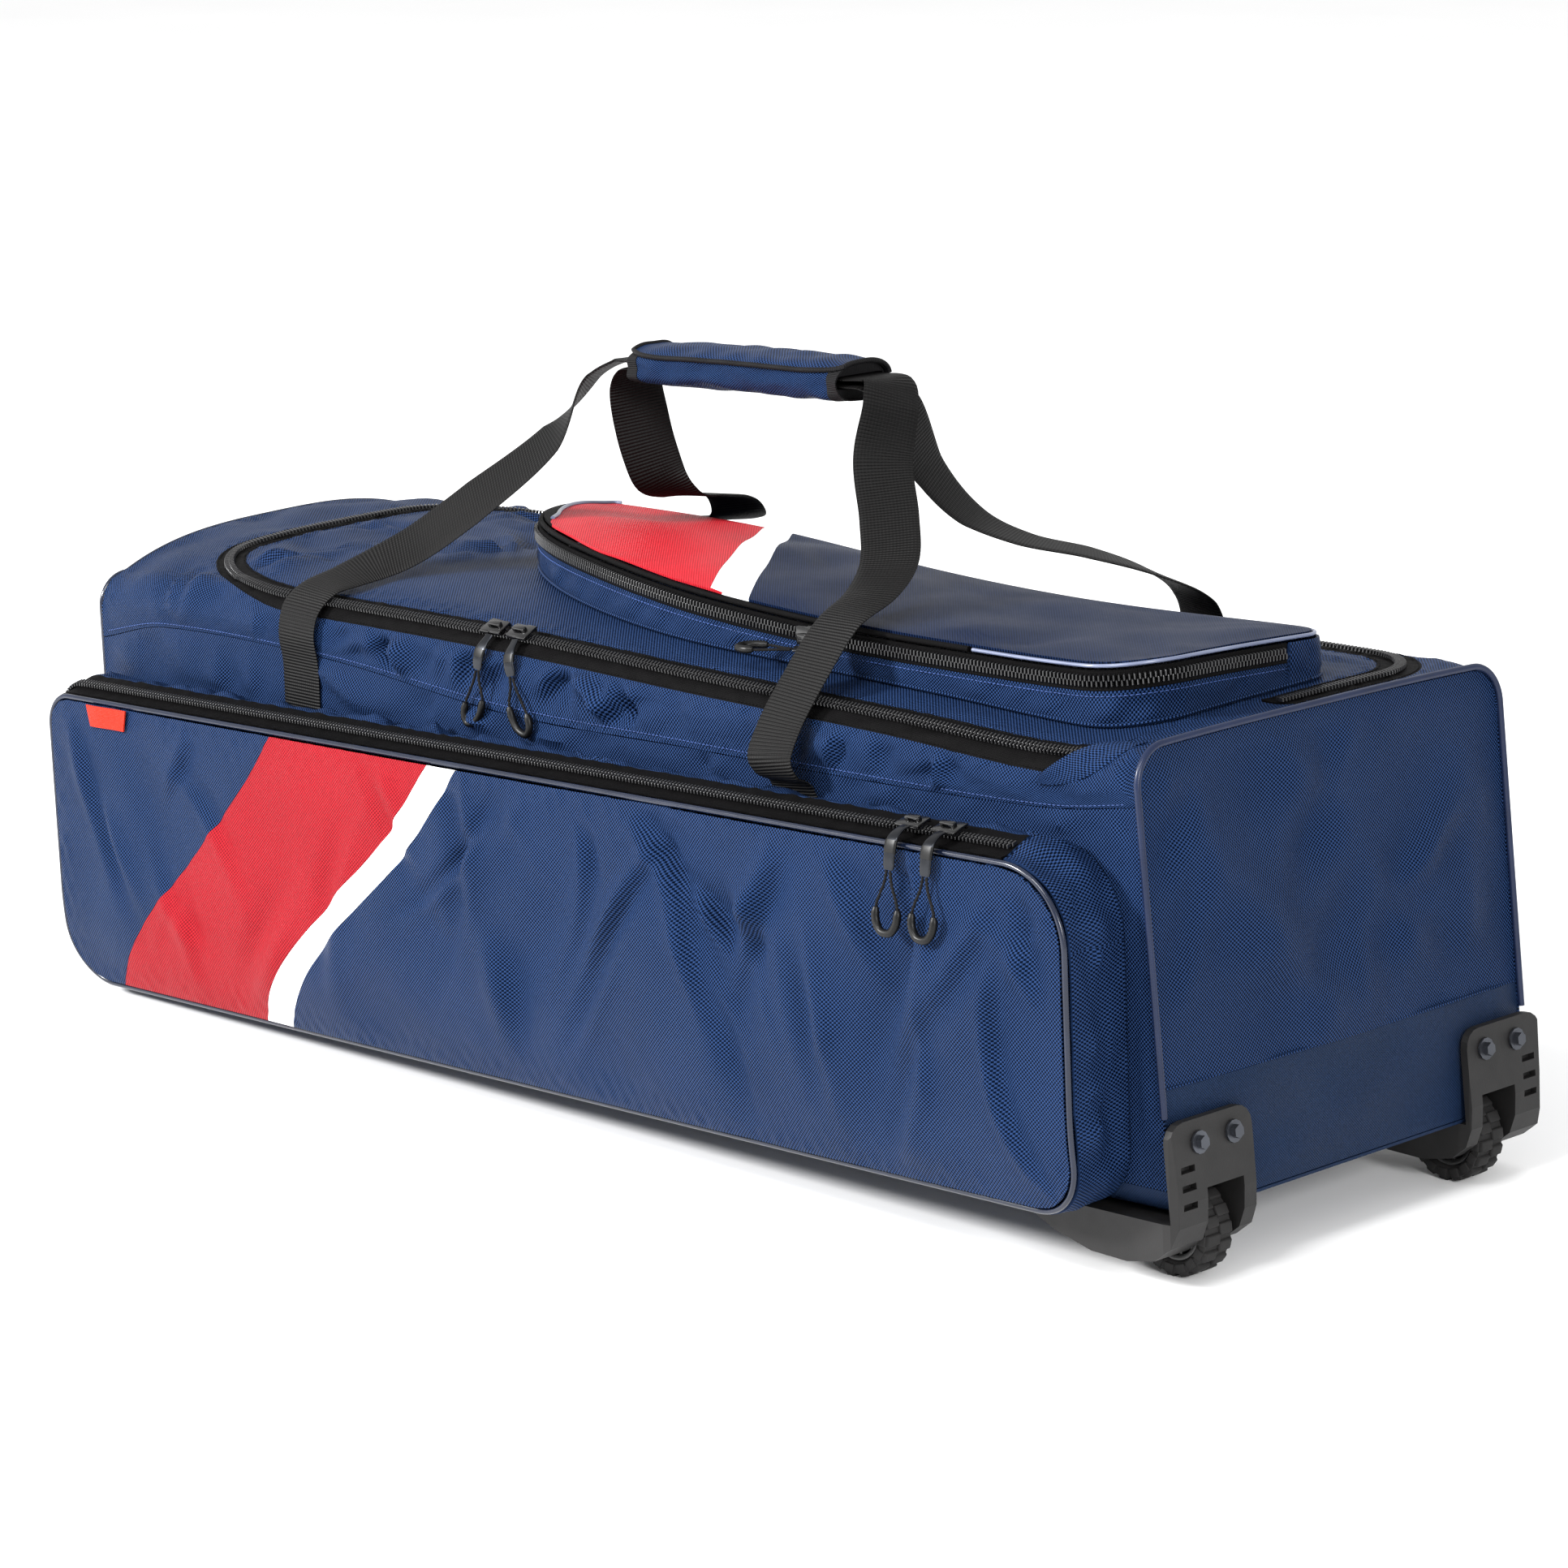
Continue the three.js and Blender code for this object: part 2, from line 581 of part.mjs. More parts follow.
// A flat tab along points, with its face towards `away`
function pullTab(name, points, away) {
  const { half, thick } = TAB_SECTION;
  const section = [[-half, -thick], [half, -thick], [half, thick], [-half, thick]];
  addPiece(name, sweep(framesAlong(points, away), section), metal(0x55565a));
}

// The pull: a loop of cord that hangs from the tab and ends in a moulded grip, drawn in a plane
// with axes to the side and down; columns: side, down, radius
const PULL = [
  { side: -1.4, down: 0.4, r: CORD.r },
  { side: -3, down: 8, r: CORD.r },
  { side: -7.5, down: 18, r: CORD.r },
  { side: -9, down: 23, r: CORD.grip },
  { side: -8.5, down: 31, r: CORD.grip },
  { side: -4, down: 37, r: CORD.grip },
  { side: 4, down: 37, r: CORD.grip },
  { side: 8.5, down: 31, r: CORD.grip },
  { side: 9, down: 23, r: CORD.grip },
  { side: 7.5, down: 18, r: CORD.r },
  { side: 3, down: 8, r: CORD.r },
  { side: 1.4, down: 0.4, r: CORD.r },
];
function pullCord(name, origin, side, down) {
  const away = side.clone().cross(down).normalize();
  const points = PULL.map((row) =>
    origin.clone().addScaledVector(side, row.side).addScaledVector(down, row.down),
  );
  const section = (i) => circle(PULL[i].r, CORD.sides);
  addPiece(name, sweep(framesAlong(points, away), section), cloth(BLACK));
}

const MAIN_TAB = [
  { s: 41.9, height: 5 },
  { s: 33, height: 5.5 },
  { s: 26, height: 5 },
  { s: 20, height: 4 },
];
MAIN_SLIDERS.forEach((x, i) => {
  const name = `main_zip_${["far", "near"][i]}`;
  const s = LID_CHAIN.y0;
  const away = topNormal(x, s);
  const along = X_AXIS.clone().addScaledVector(away, -away.x).normalize().multiplyScalar(i ? 1 : -1);
  slider(`${name}_slider`, overTop(x, s, SLIDER_LIFT), along, away.clone().cross(along), away);
  const lean = (i ? 1 : -1) * 0.7;
  const points = MAIN_TAB.map((row, k) => overTop(x + k * lean * 2, row.s, row.height));
  pullTab(`${name}_tab`, points, topNormal(x, 24));
  const foot = points[MAIN_TAB.length - 1].clone().add(point(0, 0, -0.5));
  const side = point(1, 0, -lean * 0.35).normalize();
  pullCord(`${name}_pull`, foot, side, point(lean * 0.35, 0, -1).normalize());
});

// The front pocket's face, with its main folds: the middle of each, its direction in degrees, half
// lengths along and across it, and how far it goes in
const POCKET_FOLDS = [
  { x: 150, z: 165, angle: -52, along: 75, across: 20, depth: 7 },
  { x: 190, z: 95, angle: -85, along: 70, across: 18, depth: 6 },
  { x: 320, z: 110, angle: -100, along: 65, across: 20, depth: 8 },
  { x: 395, z: 135, angle: 60, along: 60, across: 20, depth: -6 },
  { x: 20, z: 120, angle: 60, along: 80, across: 24, depth: 6 },
  { x: -400, z: 150, angle: -65, along: 60, across: 20, depth: 5 },
  { x: -190, z: 60, angle: 40, along: 70, across: 25, depth: -5 },
];
function foldsAt(folds, x, z) {
  return folds.reduce((sum, fold) => {
    const angle = degToRad(fold.angle);
    const along = (x - fold.x) * Math.cos(angle) + (z - fold.z) * Math.sin(angle);
    const across = (z - fold.z) * Math.cos(angle) - (x - fold.x) * Math.sin(angle);
    return sum + fold.depth * Math.exp(-((along / fold.along) ** 2) - (across / fold.across) ** 2);
  }, 0);
}
function pocketEdgeY(z) {
  const low = clamp(1 - (z - POCKET.y0) / POCKET_TUCK.height, 0, 1);
  return POCKET_FACE_Y + POCKET_TUCK.depth * low * low;
}
function pocketFaceY(x, z) {
  const u = clamp((x - POCKET.x0) / (POCKET.x1 - POCKET.x0), 0, 1);
  const v = clamp((z - POCKET.y0) / (POCKET.y1 - POCKET.y0), 0, 1);
  const middle = Math.sqrt(16 * u * (1 - u) * v * (1 - v));
  return pocketEdgeY(z) - 9 * middle + foldsAt(POCKET_FOLDS, x, z) * Math.min(1, 2 * middle);
}

const FACE_INSET = 2 * PIPING_R + GAP;
const pocketRim = roundedLoop(POCKET, POCKET_RADII, 4, 90);
const pocketLoop = withPoint(
  withPoint(pocketRim, POCKET_ZIP.right, POCKET.y1),
  POCKET.x0,
  POCKET_ZIP.farBottom,
);
const pocketFace = common(
  sheet(
    18,
    5,
    (u, v) => {
      const x = lerp(POCKET.x0, POCKET.x1, u);
      const z = lerp(POCKET.y0, POCKET.y1, v);
      return point(x, pocketFaceY(x, z), z);
    },
    () => point(0, -1, 0),
  ),
  prism(outlineOf(roundedLoop(POCKET, POCKET_RADII, 4, 2000, -FACE_INSET)), -300, -100, "xz"),
);

// Cuts a face into strips along slanted lines; each line has its place at the two edges
function strips(face, names, materials, lines, [edge0, edge1], plane, range) {
  const far = 2000;
  const sides = [[-far, -far], ...lines, [far, far]];
  names.forEach((name, i) => {
    const [l0, l1] = sides[i].map((x) => x + (i ? GAP / 2 : 0));
    const [r0, r1] = sides[i + 1].map((x) => x - GAP / 2);
    const outline = [[l0, edge0], [r0, edge0], [r1, edge1], [l1, edge1]];
    addPiece(name, common(face, prism(outline, ...range, plane)), materials[i]);
  });
}

const redFoot = STRIPE.redFoot + STRIPE.redWidth;
const redTop = STRIPE.redTop + STRIPE.redWidth;
strips(
  pocketFace,
  ["pocket_face_far", "pocket_stripe_red", "pocket_stripe_white", "pocket_face_near"],
  [cloth(NAVY), cloth(RED), cloth(WHITE), cloth(NAVY)],
  [
    [STRIPE.redFoot, STRIPE.redTop],
    [redFoot, redTop],
    [redFoot + STRIPE.whiteWidth, redTop + STRIPE.whiteWidth],
  ],
  [POCKET.y0, POCKET.y1],
  "xz",
  [-300, -100],
);

const inPocketPlane = (p, y, off) => point(p.x + p.nx * off, y, p.y + p.ny * off);
const gussetFront = (p) => pocketEdgeY(p.y) + PIPING_R + 1 + GAP;
const gussetMiddle = (p) => gussetFront(p) + POCKET_TAPE;
const gussetBack = (p) => -read(BODY, "wall", stationAt(p.x, p.y)) - 0.7 * SEAM_GAP;
function pocketBand(run, front, back, closed) {
  const at = (off) => run.map((p) => [inPocketPlane(p, front(p), off), inPocketPlane(p, back(p), off)]);
  return wall(at(0), at(-CLOTH), closed);
}
const hasPocketZip = (p) => {
  const onTop = p.ny > 0.5 && p.x <= POCKET_ZIP.right;
  const onFarSide = p.nx < -0.5 && p.y >= POCKET_ZIP.farBottom;
  return onTop || onFarSide || (p.nx < 0 && p.ny > 0);
};
const [pocketZipRun, pocketClothRun] = splitLoop(pocketLoop, hasPocketZip);
const behindTape = (p) => gussetMiddle(p) + GAP;
const LAP = 1;
const pocketGusset = join(
  pocketBand(pocketLoop, behindTape, gussetBack, true),
  pocketBand(pocketClothRun, gussetFront, (p) => behindTape(p) + LAP, false),
);
addPiece("pocket_gusset", pocketGusset, cloth(NAVY));
addPiece("pocket_zip_tape", pocketBand(pocketZipRun, gussetFront, gussetMiddle, false), cloth(BLACK));

const pocketChainY = (p) => gussetFront(p) + POCKET_TAPE / 2;
const pocketChain = pocketZipRun.map((p) => inPocketPlane(p, pocketChainY(p), CHAIN.lift));
const pocketAway = (i) => point(pocketZipRun[i].nx, 0, pocketZipRun[i].ny);
addPiece("pocket_zip_chain", sweep(framesAlong(pocketChain, pocketAway), chainSection), glossy(BLACK));

const pocketPipe = pocketLoop.map((p) => inPocketPlane(p, pocketEdgeY(p.y) + 1, -PIPING_R - GAP));
const pocketPiping = sweep(framesAlong(pocketPipe, Y_AXIS, true), circle(PIPING_R, 4), true);
addPiece("pocket_piping", pocketPiping, glossy(0x1a2340));

const tabTop = POCKET.y1 - FACE_INSET;
const tabY = pocketFaceY(TAB.x, tabTop - TAB.height / 2) - 1.8;
const tabOutline = [
  [TAB.x - TAB.width / 2, tabTop],
  [TAB.x + TAB.width / 2, tabTop],
  [TAB.x + TAB.width / 2 - 4, tabTop - TAB.height],
  [TAB.x - TAB.width / 2 + 4, tabTop - TAB.height],
];
addPiece("side_tab", prism(tabOutline, tabY, tabY + TAB.thick, "xz"), cloth(0xe8412c));

// Columns: distance towards the back from the face, and height over the pocket's top
const POCKET_TAB = [
  { back: 9, up: 5.6 },
  { back: 3, up: 5.2 },
  { back: -4, up: 1.5 },
  { back: -7, up: -8 },
  { back: -8, up: -16 },
];
POCKET_SLIDERS.forEach((x, i) => {
  const name = `pocket_zip_${["far", "near"][i]}`;
  const chainY = POCKET_FACE_Y + PIPING_R + 1 + GAP + POCKET_TAPE / 2;
  const along = point(i ? 1 : -1, 0, 0);
  const up = point(0, 0, 1);
  slider(`${name}_slider`, point(x, chainY, POCKET.y1 + SLIDER_LIFT), along, up.clone().cross(along), up);
  const points = POCKET_TAB.map((row) => point(x, POCKET_FACE_Y + row.back, POCKET.y1 + row.up));
  pullTab(`${name}_tab`, points, point(0, -1, 0.6));
  const foot = points[POCKET_TAB.length - 1].clone().add(point(0, -0.2, 0));
  pullCord(`${name}_pull`, foot, X_AXIS, point(0, -0.12, -1).normalize());
});

// The top pocket stands on the lid
const lidZ = (x, y) => topHeight(stationAt(x, END_HEIGHT), y);
// The pocket's height over the lid at its edge, which is greater towards its front
function topRise(x, y) {
  const front = (TOP_POCKET.y1 - y) / (TOP_POCKET.y1 - TOP_POCKET.y0);
  return read(TOP_HEIGHT, "height", x) + TOP_LIFT * front;
}
function topFaceZ(x, y) {
  const u = clamp((x - TOP_POCKET.x0) / (TOP_POCKET.x1 - TOP_POCKET.x0), 0, 1);
  const v = clamp((y - TOP_POCKET.y0) / (TOP_POCKET.y1 - TOP_POCKET.y0), 0, 1);
  return lidZ(x, y) + topRise(x, y) + TOP_BULGE * Math.sqrt(16 * u * (1 - u) * v * (1 - v));
}
const topLoop = withPoint(roundedLoop(TOP_POCKET, TOP_RADII, 6, 110), TOP_POCKET.x1, TOP_ZIP_BACK_Y);
const inTopPlane = (p, z, off) => point(p.x + p.nx * off, p.y + p.ny * off, z);
const topEdge = (p) => lidZ(p.x, p.y) + topRise(p.x, p.y);
const topFace = common(
  sheet(
    12,
    5,
    (u, v) => {
      const x = lerp(TOP_POCKET.x0, TOP_POCKET.x1, u);
      const y = lerp(TOP_POCKET.y0, TOP_POCKET.y1, v);
      return point(x, y, topFaceZ(x, y));
    },
    () => point(0, 0, 1),
  ),
  prism(outlineOf(roundedLoop(TOP_POCKET, TOP_RADII, 6, 2000, -FACE_INSET)), 200, 400, "xy"),
);
strips(
  topFace,
  ["top_pocket_red", "top_pocket_white", "top_pocket_navy"],
  [cloth(RED), cloth(WHITE), cloth(NAVY)],
  [
    [TOP_STRIPE.redFront, TOP_STRIPE.redBack],
    [TOP_STRIPE.redFront + TOP_STRIPE.whiteFront, TOP_STRIPE.redBack + TOP_STRIPE.whiteBack],
  ],
  [TOP_POCKET.y0, TOP_POCKET.y1],
  "xy",
  [200, 400],
);

const topBandFoot = (p) => lidZ(p.x, p.y) + GAP;
const topBandTop = (p) => topEdge(p) - PIPING_R - 1 - GAP;
const topBandMiddle = (p) => topBandTop(p) - TOP_TAPE;
const topBandUnder = (p) => topBandMiddle(p) - GAP;
function topBand(run, foot, head, closed) {
  const at = (off) => run.map((p) => [inTopPlane(p, foot(p), off), inTopPlane(p, head(p), off)]);
  return wall(at(0), at(-CLOTH), closed);
}
const hasTopZip = (p) => p.ny < 0.5 && p.y <= (p.nx > 0.5 ? TOP_ZIP_BACK_Y : TOP_POCKET.y1);
const [topZipRun, topClothRun] = splitLoop(topLoop, hasTopZip);
const lowerBand = cut(topBand(topLoop, (p) => topBandFoot(p) - 6, topBandUnder, true), common(
  sheet(
    STATIONS.length - 1,
    ACROSS_STEPS.length - 1,
    (u, v) => overTop(clamp(stepOf(STATIONS, u), FAR_X + 3, WHEEL_END_X - 3), stepOf(ACROSS_STEPS, v), GAP),
    awayFromAxis,
    30,
  ),
  box(-500, 470, -135, 135, 200, 400),
));
const upperBand = topBand(topClothRun, (p) => topBandUnder(p) - LAP, topBandTop, false);
addPiece("top_pocket_gusset", join(lowerBand, upperBand), cloth(NAVY));
addPiece("top_pocket_zip_tape", topBand(topZipRun, topBandMiddle, topBandTop, false), cloth(BLACK));
const topChainZ = (p) => topBandTop(p) - TOP_TAPE / 2;
const topChain = topZipRun.map((p) => inTopPlane(p, topChainZ(p), CHAIN.lift));
const topAway = (i) => point(topZipRun[i].nx, topZipRun[i].ny, 0);
addPiece("top_pocket_zip_chain", sweep(framesAlong(topChain, topAway), chainSection), glossy(BLACK));
const topPipe = topLoop.map((p) => inTopPlane(p, topEdge(p) + 1 - PIPING_R, -PIPING_R - GAP));
const topPiping = sweep(framesAlong(topPipe, point(0, 0, 1), true), circle(PIPING_R, 4), true);
addPiece("top_pocket_piping", topPiping, glossy(0x8f98ad));

const topSliderAt = { x: TOP_SLIDER_X, y: TOP_POCKET.y0, nx: 0, ny: -1 };
const topSliderPlace = inTopPlane(topSliderAt, topChainZ(topSliderAt), SLIDER_LIFT);
slider("top_pocket_slider", topSliderPlace, X_AXIS, point(0, 0, 1), point(0, -1, 0));
const topTabFoot = topSliderPlace.clone().add(point(0, -5, -7.2));
const topTabPoints = [0, 0.5, 1].map((t) => topTabFoot.clone().add(point(-6.5 * t, -4 * t, -0.2 * t)));
pullTab("top_pocket_tab", topTabPoints, point(0, -0.2, 1));
const lidSlope = point(-0.95, -0.25, 0).normalize();
const topPullSide = point(0.25, -0.95, 0).normalize();
const topPullFoot = topTabPoints[2].clone().addScaledVector(lidSlope, 1).add(point(0, 0, -0.4));
pullCord("top_pocket_pull", topPullFoot, topPullSide, lidSlope);

// Straps: points along each length of webbing from sewn end to sewn end, and the direction of its
// width there
const STRAP_FRONT = [
  { x: -284, y: -168.6, z: 222, wx: 1, wy: 0, wz: 0 },
  { x: -283, y: -169, z: 252, wx: 1, wy: 0, wz: 0 },
  { x: -282, y: -172, z: 274, wx: 1, wy: 0, wz: 0 },
  { x: -281, y: -167, z: 291, wx: 1, wy: 0, wz: -0.1 },
  { x: -280, y: -152, z: 302, wx: 1, wy: 0, wz: -0.1 },
  { x: -277, y: -131, z: 307, wx: 0.95, wy: -0.15, wz: -0.2 },
  { x: -269, y: -110, z: 314, wx: 0.9, wy: -0.25, wz: -0.35 },
  { x: -250, y: -92, z: 326, wx: 0.8, wy: -0.35, wz: -0.5 },
  { x: -208, y: -72, z: 356, wx: 0.65, wy: -0.4, wz: -0.65 },
  { x: -158, y: -42, z: 400, wx: 0.5, wy: -0.6, wz: -0.6 },
  { x: -141, y: -14, z: 441, wx: 0.2, wy: -0.95, wz: -0.2 },
  { x: -123, y: -0.5, z: 451.2, wx: 0, wy: -1, wz: 0 },
  { x: -99, y: 0, z: 452.2, wx: 0, wy: -1, wz: 0 },
  { x: 0, y: 0, z: 452.2, wx: 0, wy: -1, wz: 0 },
  { x: 99, y: 0, z: 452.2, wx: 0, wy: -1, wz: 0 },
  { x: 126, y: -0.5, z: 451.4, wx: 0, wy: -1, wz: 0 },
  { x: 137, y: -10, z: 438, wx: -0.3, wy: -0.95, wz: 0 },
  { x: 142, y: -24, z: 405, wx: -0.65, wy: -0.75, wz: 0 },
  { x: 166, y: -44, z: 372, wx: -0.75, wy: -0.65, wz: 0 },
  { x: 187, y: -66, z: 349, wx: -0.85, wy: -0.5, wz: 0 },
  { x: 202, y: -98, z: 334, wx: -0.95, wy: -0.25, wz: 0 },
  { x: 203, y: -128, z: 321, wx: -1, wy: 0, wz: 0 },
  { x: 201, y: -155, z: 293, wx: -1, wy: 0, wz: 0 },
  { x: 198, y: -178, z: 262, wx: -1, wy: 0, wz: 0 },
  { x: 199, y: -187, z: 245, wx: -1, wy: 0, wz: 0 },
  { x: 201, y: -183, z: 235, wx: -1, wy: 0, wz: 0 },
  { x: 203, y: -174, z: 229, wx: -1, wy: 0, wz: 0 },
  { x: 204, y: -169.8, z: 220, wx: -1, wy: 0, wz: 0 },
];
const STRAP_BACK = [
  { x: -268, y: 168.6, z: 222, wx: -1, wy: 0, wz: 0 },
  { x: -267, y: 168.9, z: 256, wx: -1, wy: 0, wz: 0 },
  { x: -262, y: 170.5, z: 284, wx: -1, wy: 0, wz: 0 },
  { x: -246, y: 157, z: 308, wx: -0.95, wy: -0.2, wz: 0 },
  { x: -205, y: 132, z: 319, wx: -0.7, wy: -0.7, wz: 0 },
  { x: -158, y: 116, z: 324, wx: -0.65, wy: -0.75, wz: 0 },
  { x: -128, y: 100, z: 333, wx: -0.8, wy: -0.6, wz: 0 },
  { x: -113, y: 78, z: 348, wx: -0.95, wy: -0.3, wz: 0 },
  { x: -110, y: 54, z: 353, wx: -0.95, wy: -0.3, wz: 0 },
  { x: -111, y: 30, z: 357, wx: -0.9, wy: -0.45, wz: 0 },
  { x: -113, y: 16, z: 368, wx: -0.8, wy: -0.6, wz: 0 },
  { x: -117, y: 10, z: 388, wx: -0.7, wy: -0.7, wz: 0 },
  { x: -121, y: 7, z: 412, wx: -0.6, wy: -0.8, wz: 0 },
  { x: -121, y: 4, z: 434, wx: -0.3, wy: -0.95, wz: 0 },
  { x: -113, y: 0.5, z: 445.4, wx: 0, wy: -1, wz: 0 },
  { x: -99, y: 0, z: 447.5, wx: 0, wy: -1, wz: 0 },
  { x: 0, y: 0, z: 447.5, wx: 0, wy: -1, wz: 0 },
  { x: 99, y: 0, z: 447.6, wx: 0, wy: -1, wz: 0 },
  { x: 121, y: 0.5, z: 446.2, wx: 0, wy: -1, wz: 0 },
  { x: 128, y: 8, z: 434, wx: 0.1, wy: -1, wz: 0 },
  { x: 130, y: 30, z: 390, wx: 0.2, wy: -1, wz: 0 },
  { x: 148, y: 48, z: 360, wx: 0.25, wy: -1, wz: 0 },
  { x: 178, y: 64, z: 345, wx: 0.4, wy: -0.9, wz: 0 },
  { x: 213, y: 90, z: 335, wx: 0.6, wy: -0.8, wz: 0 },
  { x: 237, y: 122, z: 320, wx: 0.85, wy: -0.5, wz: 0 },
  { x: 243, y: 155, z: 299, wx: 1, wy: -0.1, wz: 0 },
  { x: 236, y: 170.5, z: 268, wx: 1, wy: 0, wz: 0 },
  { x: 229, y: 168.8, z: 242, wx: 1, wy: 0, wz: 0 },
  { x: 227, y: 168.6, z: 222, wx: 1, wy: 0, wz: 0 },
];
function strap(rows) {
  const places = rows.map((row) => point(row.x, row.y, row.z));
  const curve = new THREE.CatmullRomCurve3(places, false, "centripetal");
  const steps = (rows.length - 1) * 2;
  const half = WEBBING.width / 2;
  const thick = WEBBING.thick / 2;
  const frames = Array.from({ length: steps + 1 }, (_, i) => {
    const t = i / steps;
    const k = Math.min(Math.floor(i / 2), rows.length - 2);
    const mix = (i - 2 * k) / 2;
    const width = point(...["wx", "wy", "wz"].map((key) => lerp(rows[k][key], rows[k + 1][key], mix)));
    const tangent = curve.getTangent(t);
    const a = width.addScaledVector(tangent, -width.dot(tangent)).normalize();
    return { p: curve.getPoint(t), a, b: a.clone().cross(tangent) };
  });
  return sweep(frames, [[-half, -thick], [half, -thick], [half, thick], [-half, thick]]);
}
addPiece("strap_front", strap(STRAP_FRONT), cloth(BLACK));
addPiece("strap_back", strap(STRAP_BACK), cloth(BLACK));

// The grip: a padded sleeve with a flat slot through it for both straps
function squareRound(half, height, power, count) {
  return Array.from({ length: count }, (_, i) => {
    const angle = (2 * Math.PI * i) / count;
    const c = Math.cos(angle);
    const s = Math.sin(angle);
    const r = 1 / (Math.abs(c) ** power + Math.abs(s) ** power) ** (1 / power);
    return [half * r * c, height * r * s];
  });
}
function handleWrap() {
  const count = 16;
  const ring = (half, height, power) =>
    squareRound(half, height, power, count).map(([y, z]) =>
      [0, 0.06, 0.3, 0.7, 0.94, 1].map((t) => {
        const swell = 0.86 + 0.14 * Math.min(1, 8 * t * (1 - t));
        const k = power < 6 ? swell : 1;
        return point(lerp(WRAP.x0, WRAP.x1, t), WRAP.y + y * k, WRAP.z + z * k);
      }),
    );
  return wall(ring(WRAP.half, WRAP.height, 3), ring(WRAP.slotHalf, WRAP.slotHeight, 12), true);
}
addPiece("handle_wrap", handleWrap(), cloth(NAVY));

// Wheels

// One corner moulding: a thick plate on the wheel end that turns under the base, rounded at its outer
// edge, with a well for the wheel and a bore for the axle through both sides of it
function housing(side) {
  const span = (a, b) => (side < 0 ? [-b, -a] : [a, b]);
  const [y0, y1] = span(PLATE.y0, PLATE.y1);
  const lean = WHEEL_END_LEAN / END_HEIGHT;
  const seat = (z) => WHEEL_END_X + PLATE.seat - lean * z;
  const head = BASE_STEP.lift - GAP;
  const bagSide = [[403, -GAP], [411, head], [seat(head), head], [seat(PLATE.top), PLATE.top]];
  const profile = prism([...SHOE, ...bagSide], y0, y1, "xz");
  const turned = (outer, inner, ends) => (side < 0 ? [inner, ends, ends, outer] : [outer, ends, ends, inner]);
  const plan = roundedLoop({ x0: 360, x1: 512, y0, y1 }, turned(PLATE.outer, 5, 20), 4, 2000);
  const corners = side < 0 ? [PLATE.inner, PLATE.outer, 1, 1] : [PLATE.outer, PLATE.inner, 1, 1];
  const front = roundedLoop({ x0: y0, x1: y1, y0: -60, y1: PLATE.top }, corners, 4, 2000);
  const shell = common(
    common(profile, prism(outlineOf(plan), -60, 80, "xy")),
    prism(outlineOf(front), 300, 560, "yz"),
  );
  const wy = side * WHEEL.y;
  const out = WELL.half + WELL.wall;
  const well = box(WELL.x0 - WELL.wall, seat(0) + 1, wy - out, wy + out, -4, WELL.top + WELL.wall);
  const room = box(WELL.x0, WHEEL_END_X + 40, wy - WELL.half, wy + WELL.half, -60, WELL.top);
  const bore = new THREE.CylinderGeometry(AXLE_R + 0.3, AXLE_R + 0.3, 2 * AXLE_HALF + 1, 10);
  bore.translate(WHEEL.x, wy, WHEEL.z);
  const slots = SLOT.z.map((z) => {
    const [s0, s1] = span(SLOT.y0, SLOT.y1);
    return box(WHEEL_END_X - 4, WHEEL_END_X + 30, s0, s1, z - SLOT.height / 2, z + SLOT.height / 2);
  });
  return cut(join(shell, well), room, bore, ...slots);
}

// Tyre: a turned ring whose tread is cut into lugs
function tyre() {
  const w = WHEEL.width / 2;
  const profile = [
    [WHEEL.rim, -w * 0.8], [WHEEL.r * 0.93, -w], [WHEEL.r, -w * 0.55],
    [WHEEL.r, w * 0.55], [WHEEL.r * 0.93, w], [WHEEL.rim, w * 0.8],
  ];
  const steps = WHEEL.lugs * 2;
  const frames = Array.from({ length: steps }, (_, i) => {
    const angle = (2 * Math.PI * (i + 0.5)) / steps;
    return { p: point(0, 0, 0), a: point(Math.cos(angle), 0, Math.sin(angle)), b: Y_AXIS };
  });
  const section = (i) =>
    profile.map(([r, y]) => [r > WHEEL.r * 0.9 && i % 2 ? r - WHEEL.lugDepth : r, y]);
  return sweep(frames, section, true);
}

// Hub: a rim with eight windows round the bore
function hub() {
  const half = WHEEL.width * 0.36;
  const outer = WHEEL.rim - 0.3;
  const ring = (r, n) => circle(r, n);
  const disc = prism(ring(outer, 24), -half, half, "xz");
  const windows = Array.from({ length: 8 }, (_, i) => {
    const a = (Math.PI / 4) * i;
    const spread = 0.24;
    const outline = [
      [9 * Math.cos(a - spread), 9 * Math.sin(a - spread)],
      [15 * Math.cos(a - spread), 15 * Math.sin(a - spread)],
      [15 * Math.cos(a + spread), 15 * Math.sin(a + spread)],
      [9 * Math.cos(a + spread), 9 * Math.sin(a + spread)],
    ];
    return prism(outline, -half - 1, half + 1, "xz");
  });
  return cut(disc, prism(ring(AXLE_R + 0.3, 10), -half - 1, half + 1, "xz"), ...windows);
}

function bolt(y, side) {
  const [[topX, topZ], [lowX, lowZ]] = SHOE;
  const slope = (lowX - topX) / (topZ - lowZ);
  const lean = Math.atan(slope);
  const washer = prism(circle(BOLT.washer, 12), 0, 1.4, "yz");
  const head = prism(circle(BOLT.head, 6), 1, 5, "yz");
  const x = lowX - slope * (BOLT.z - lowZ) + GAP;
  return join(washer, head).rotateY(-lean).translate(x, side * y, BOLT.z);
}

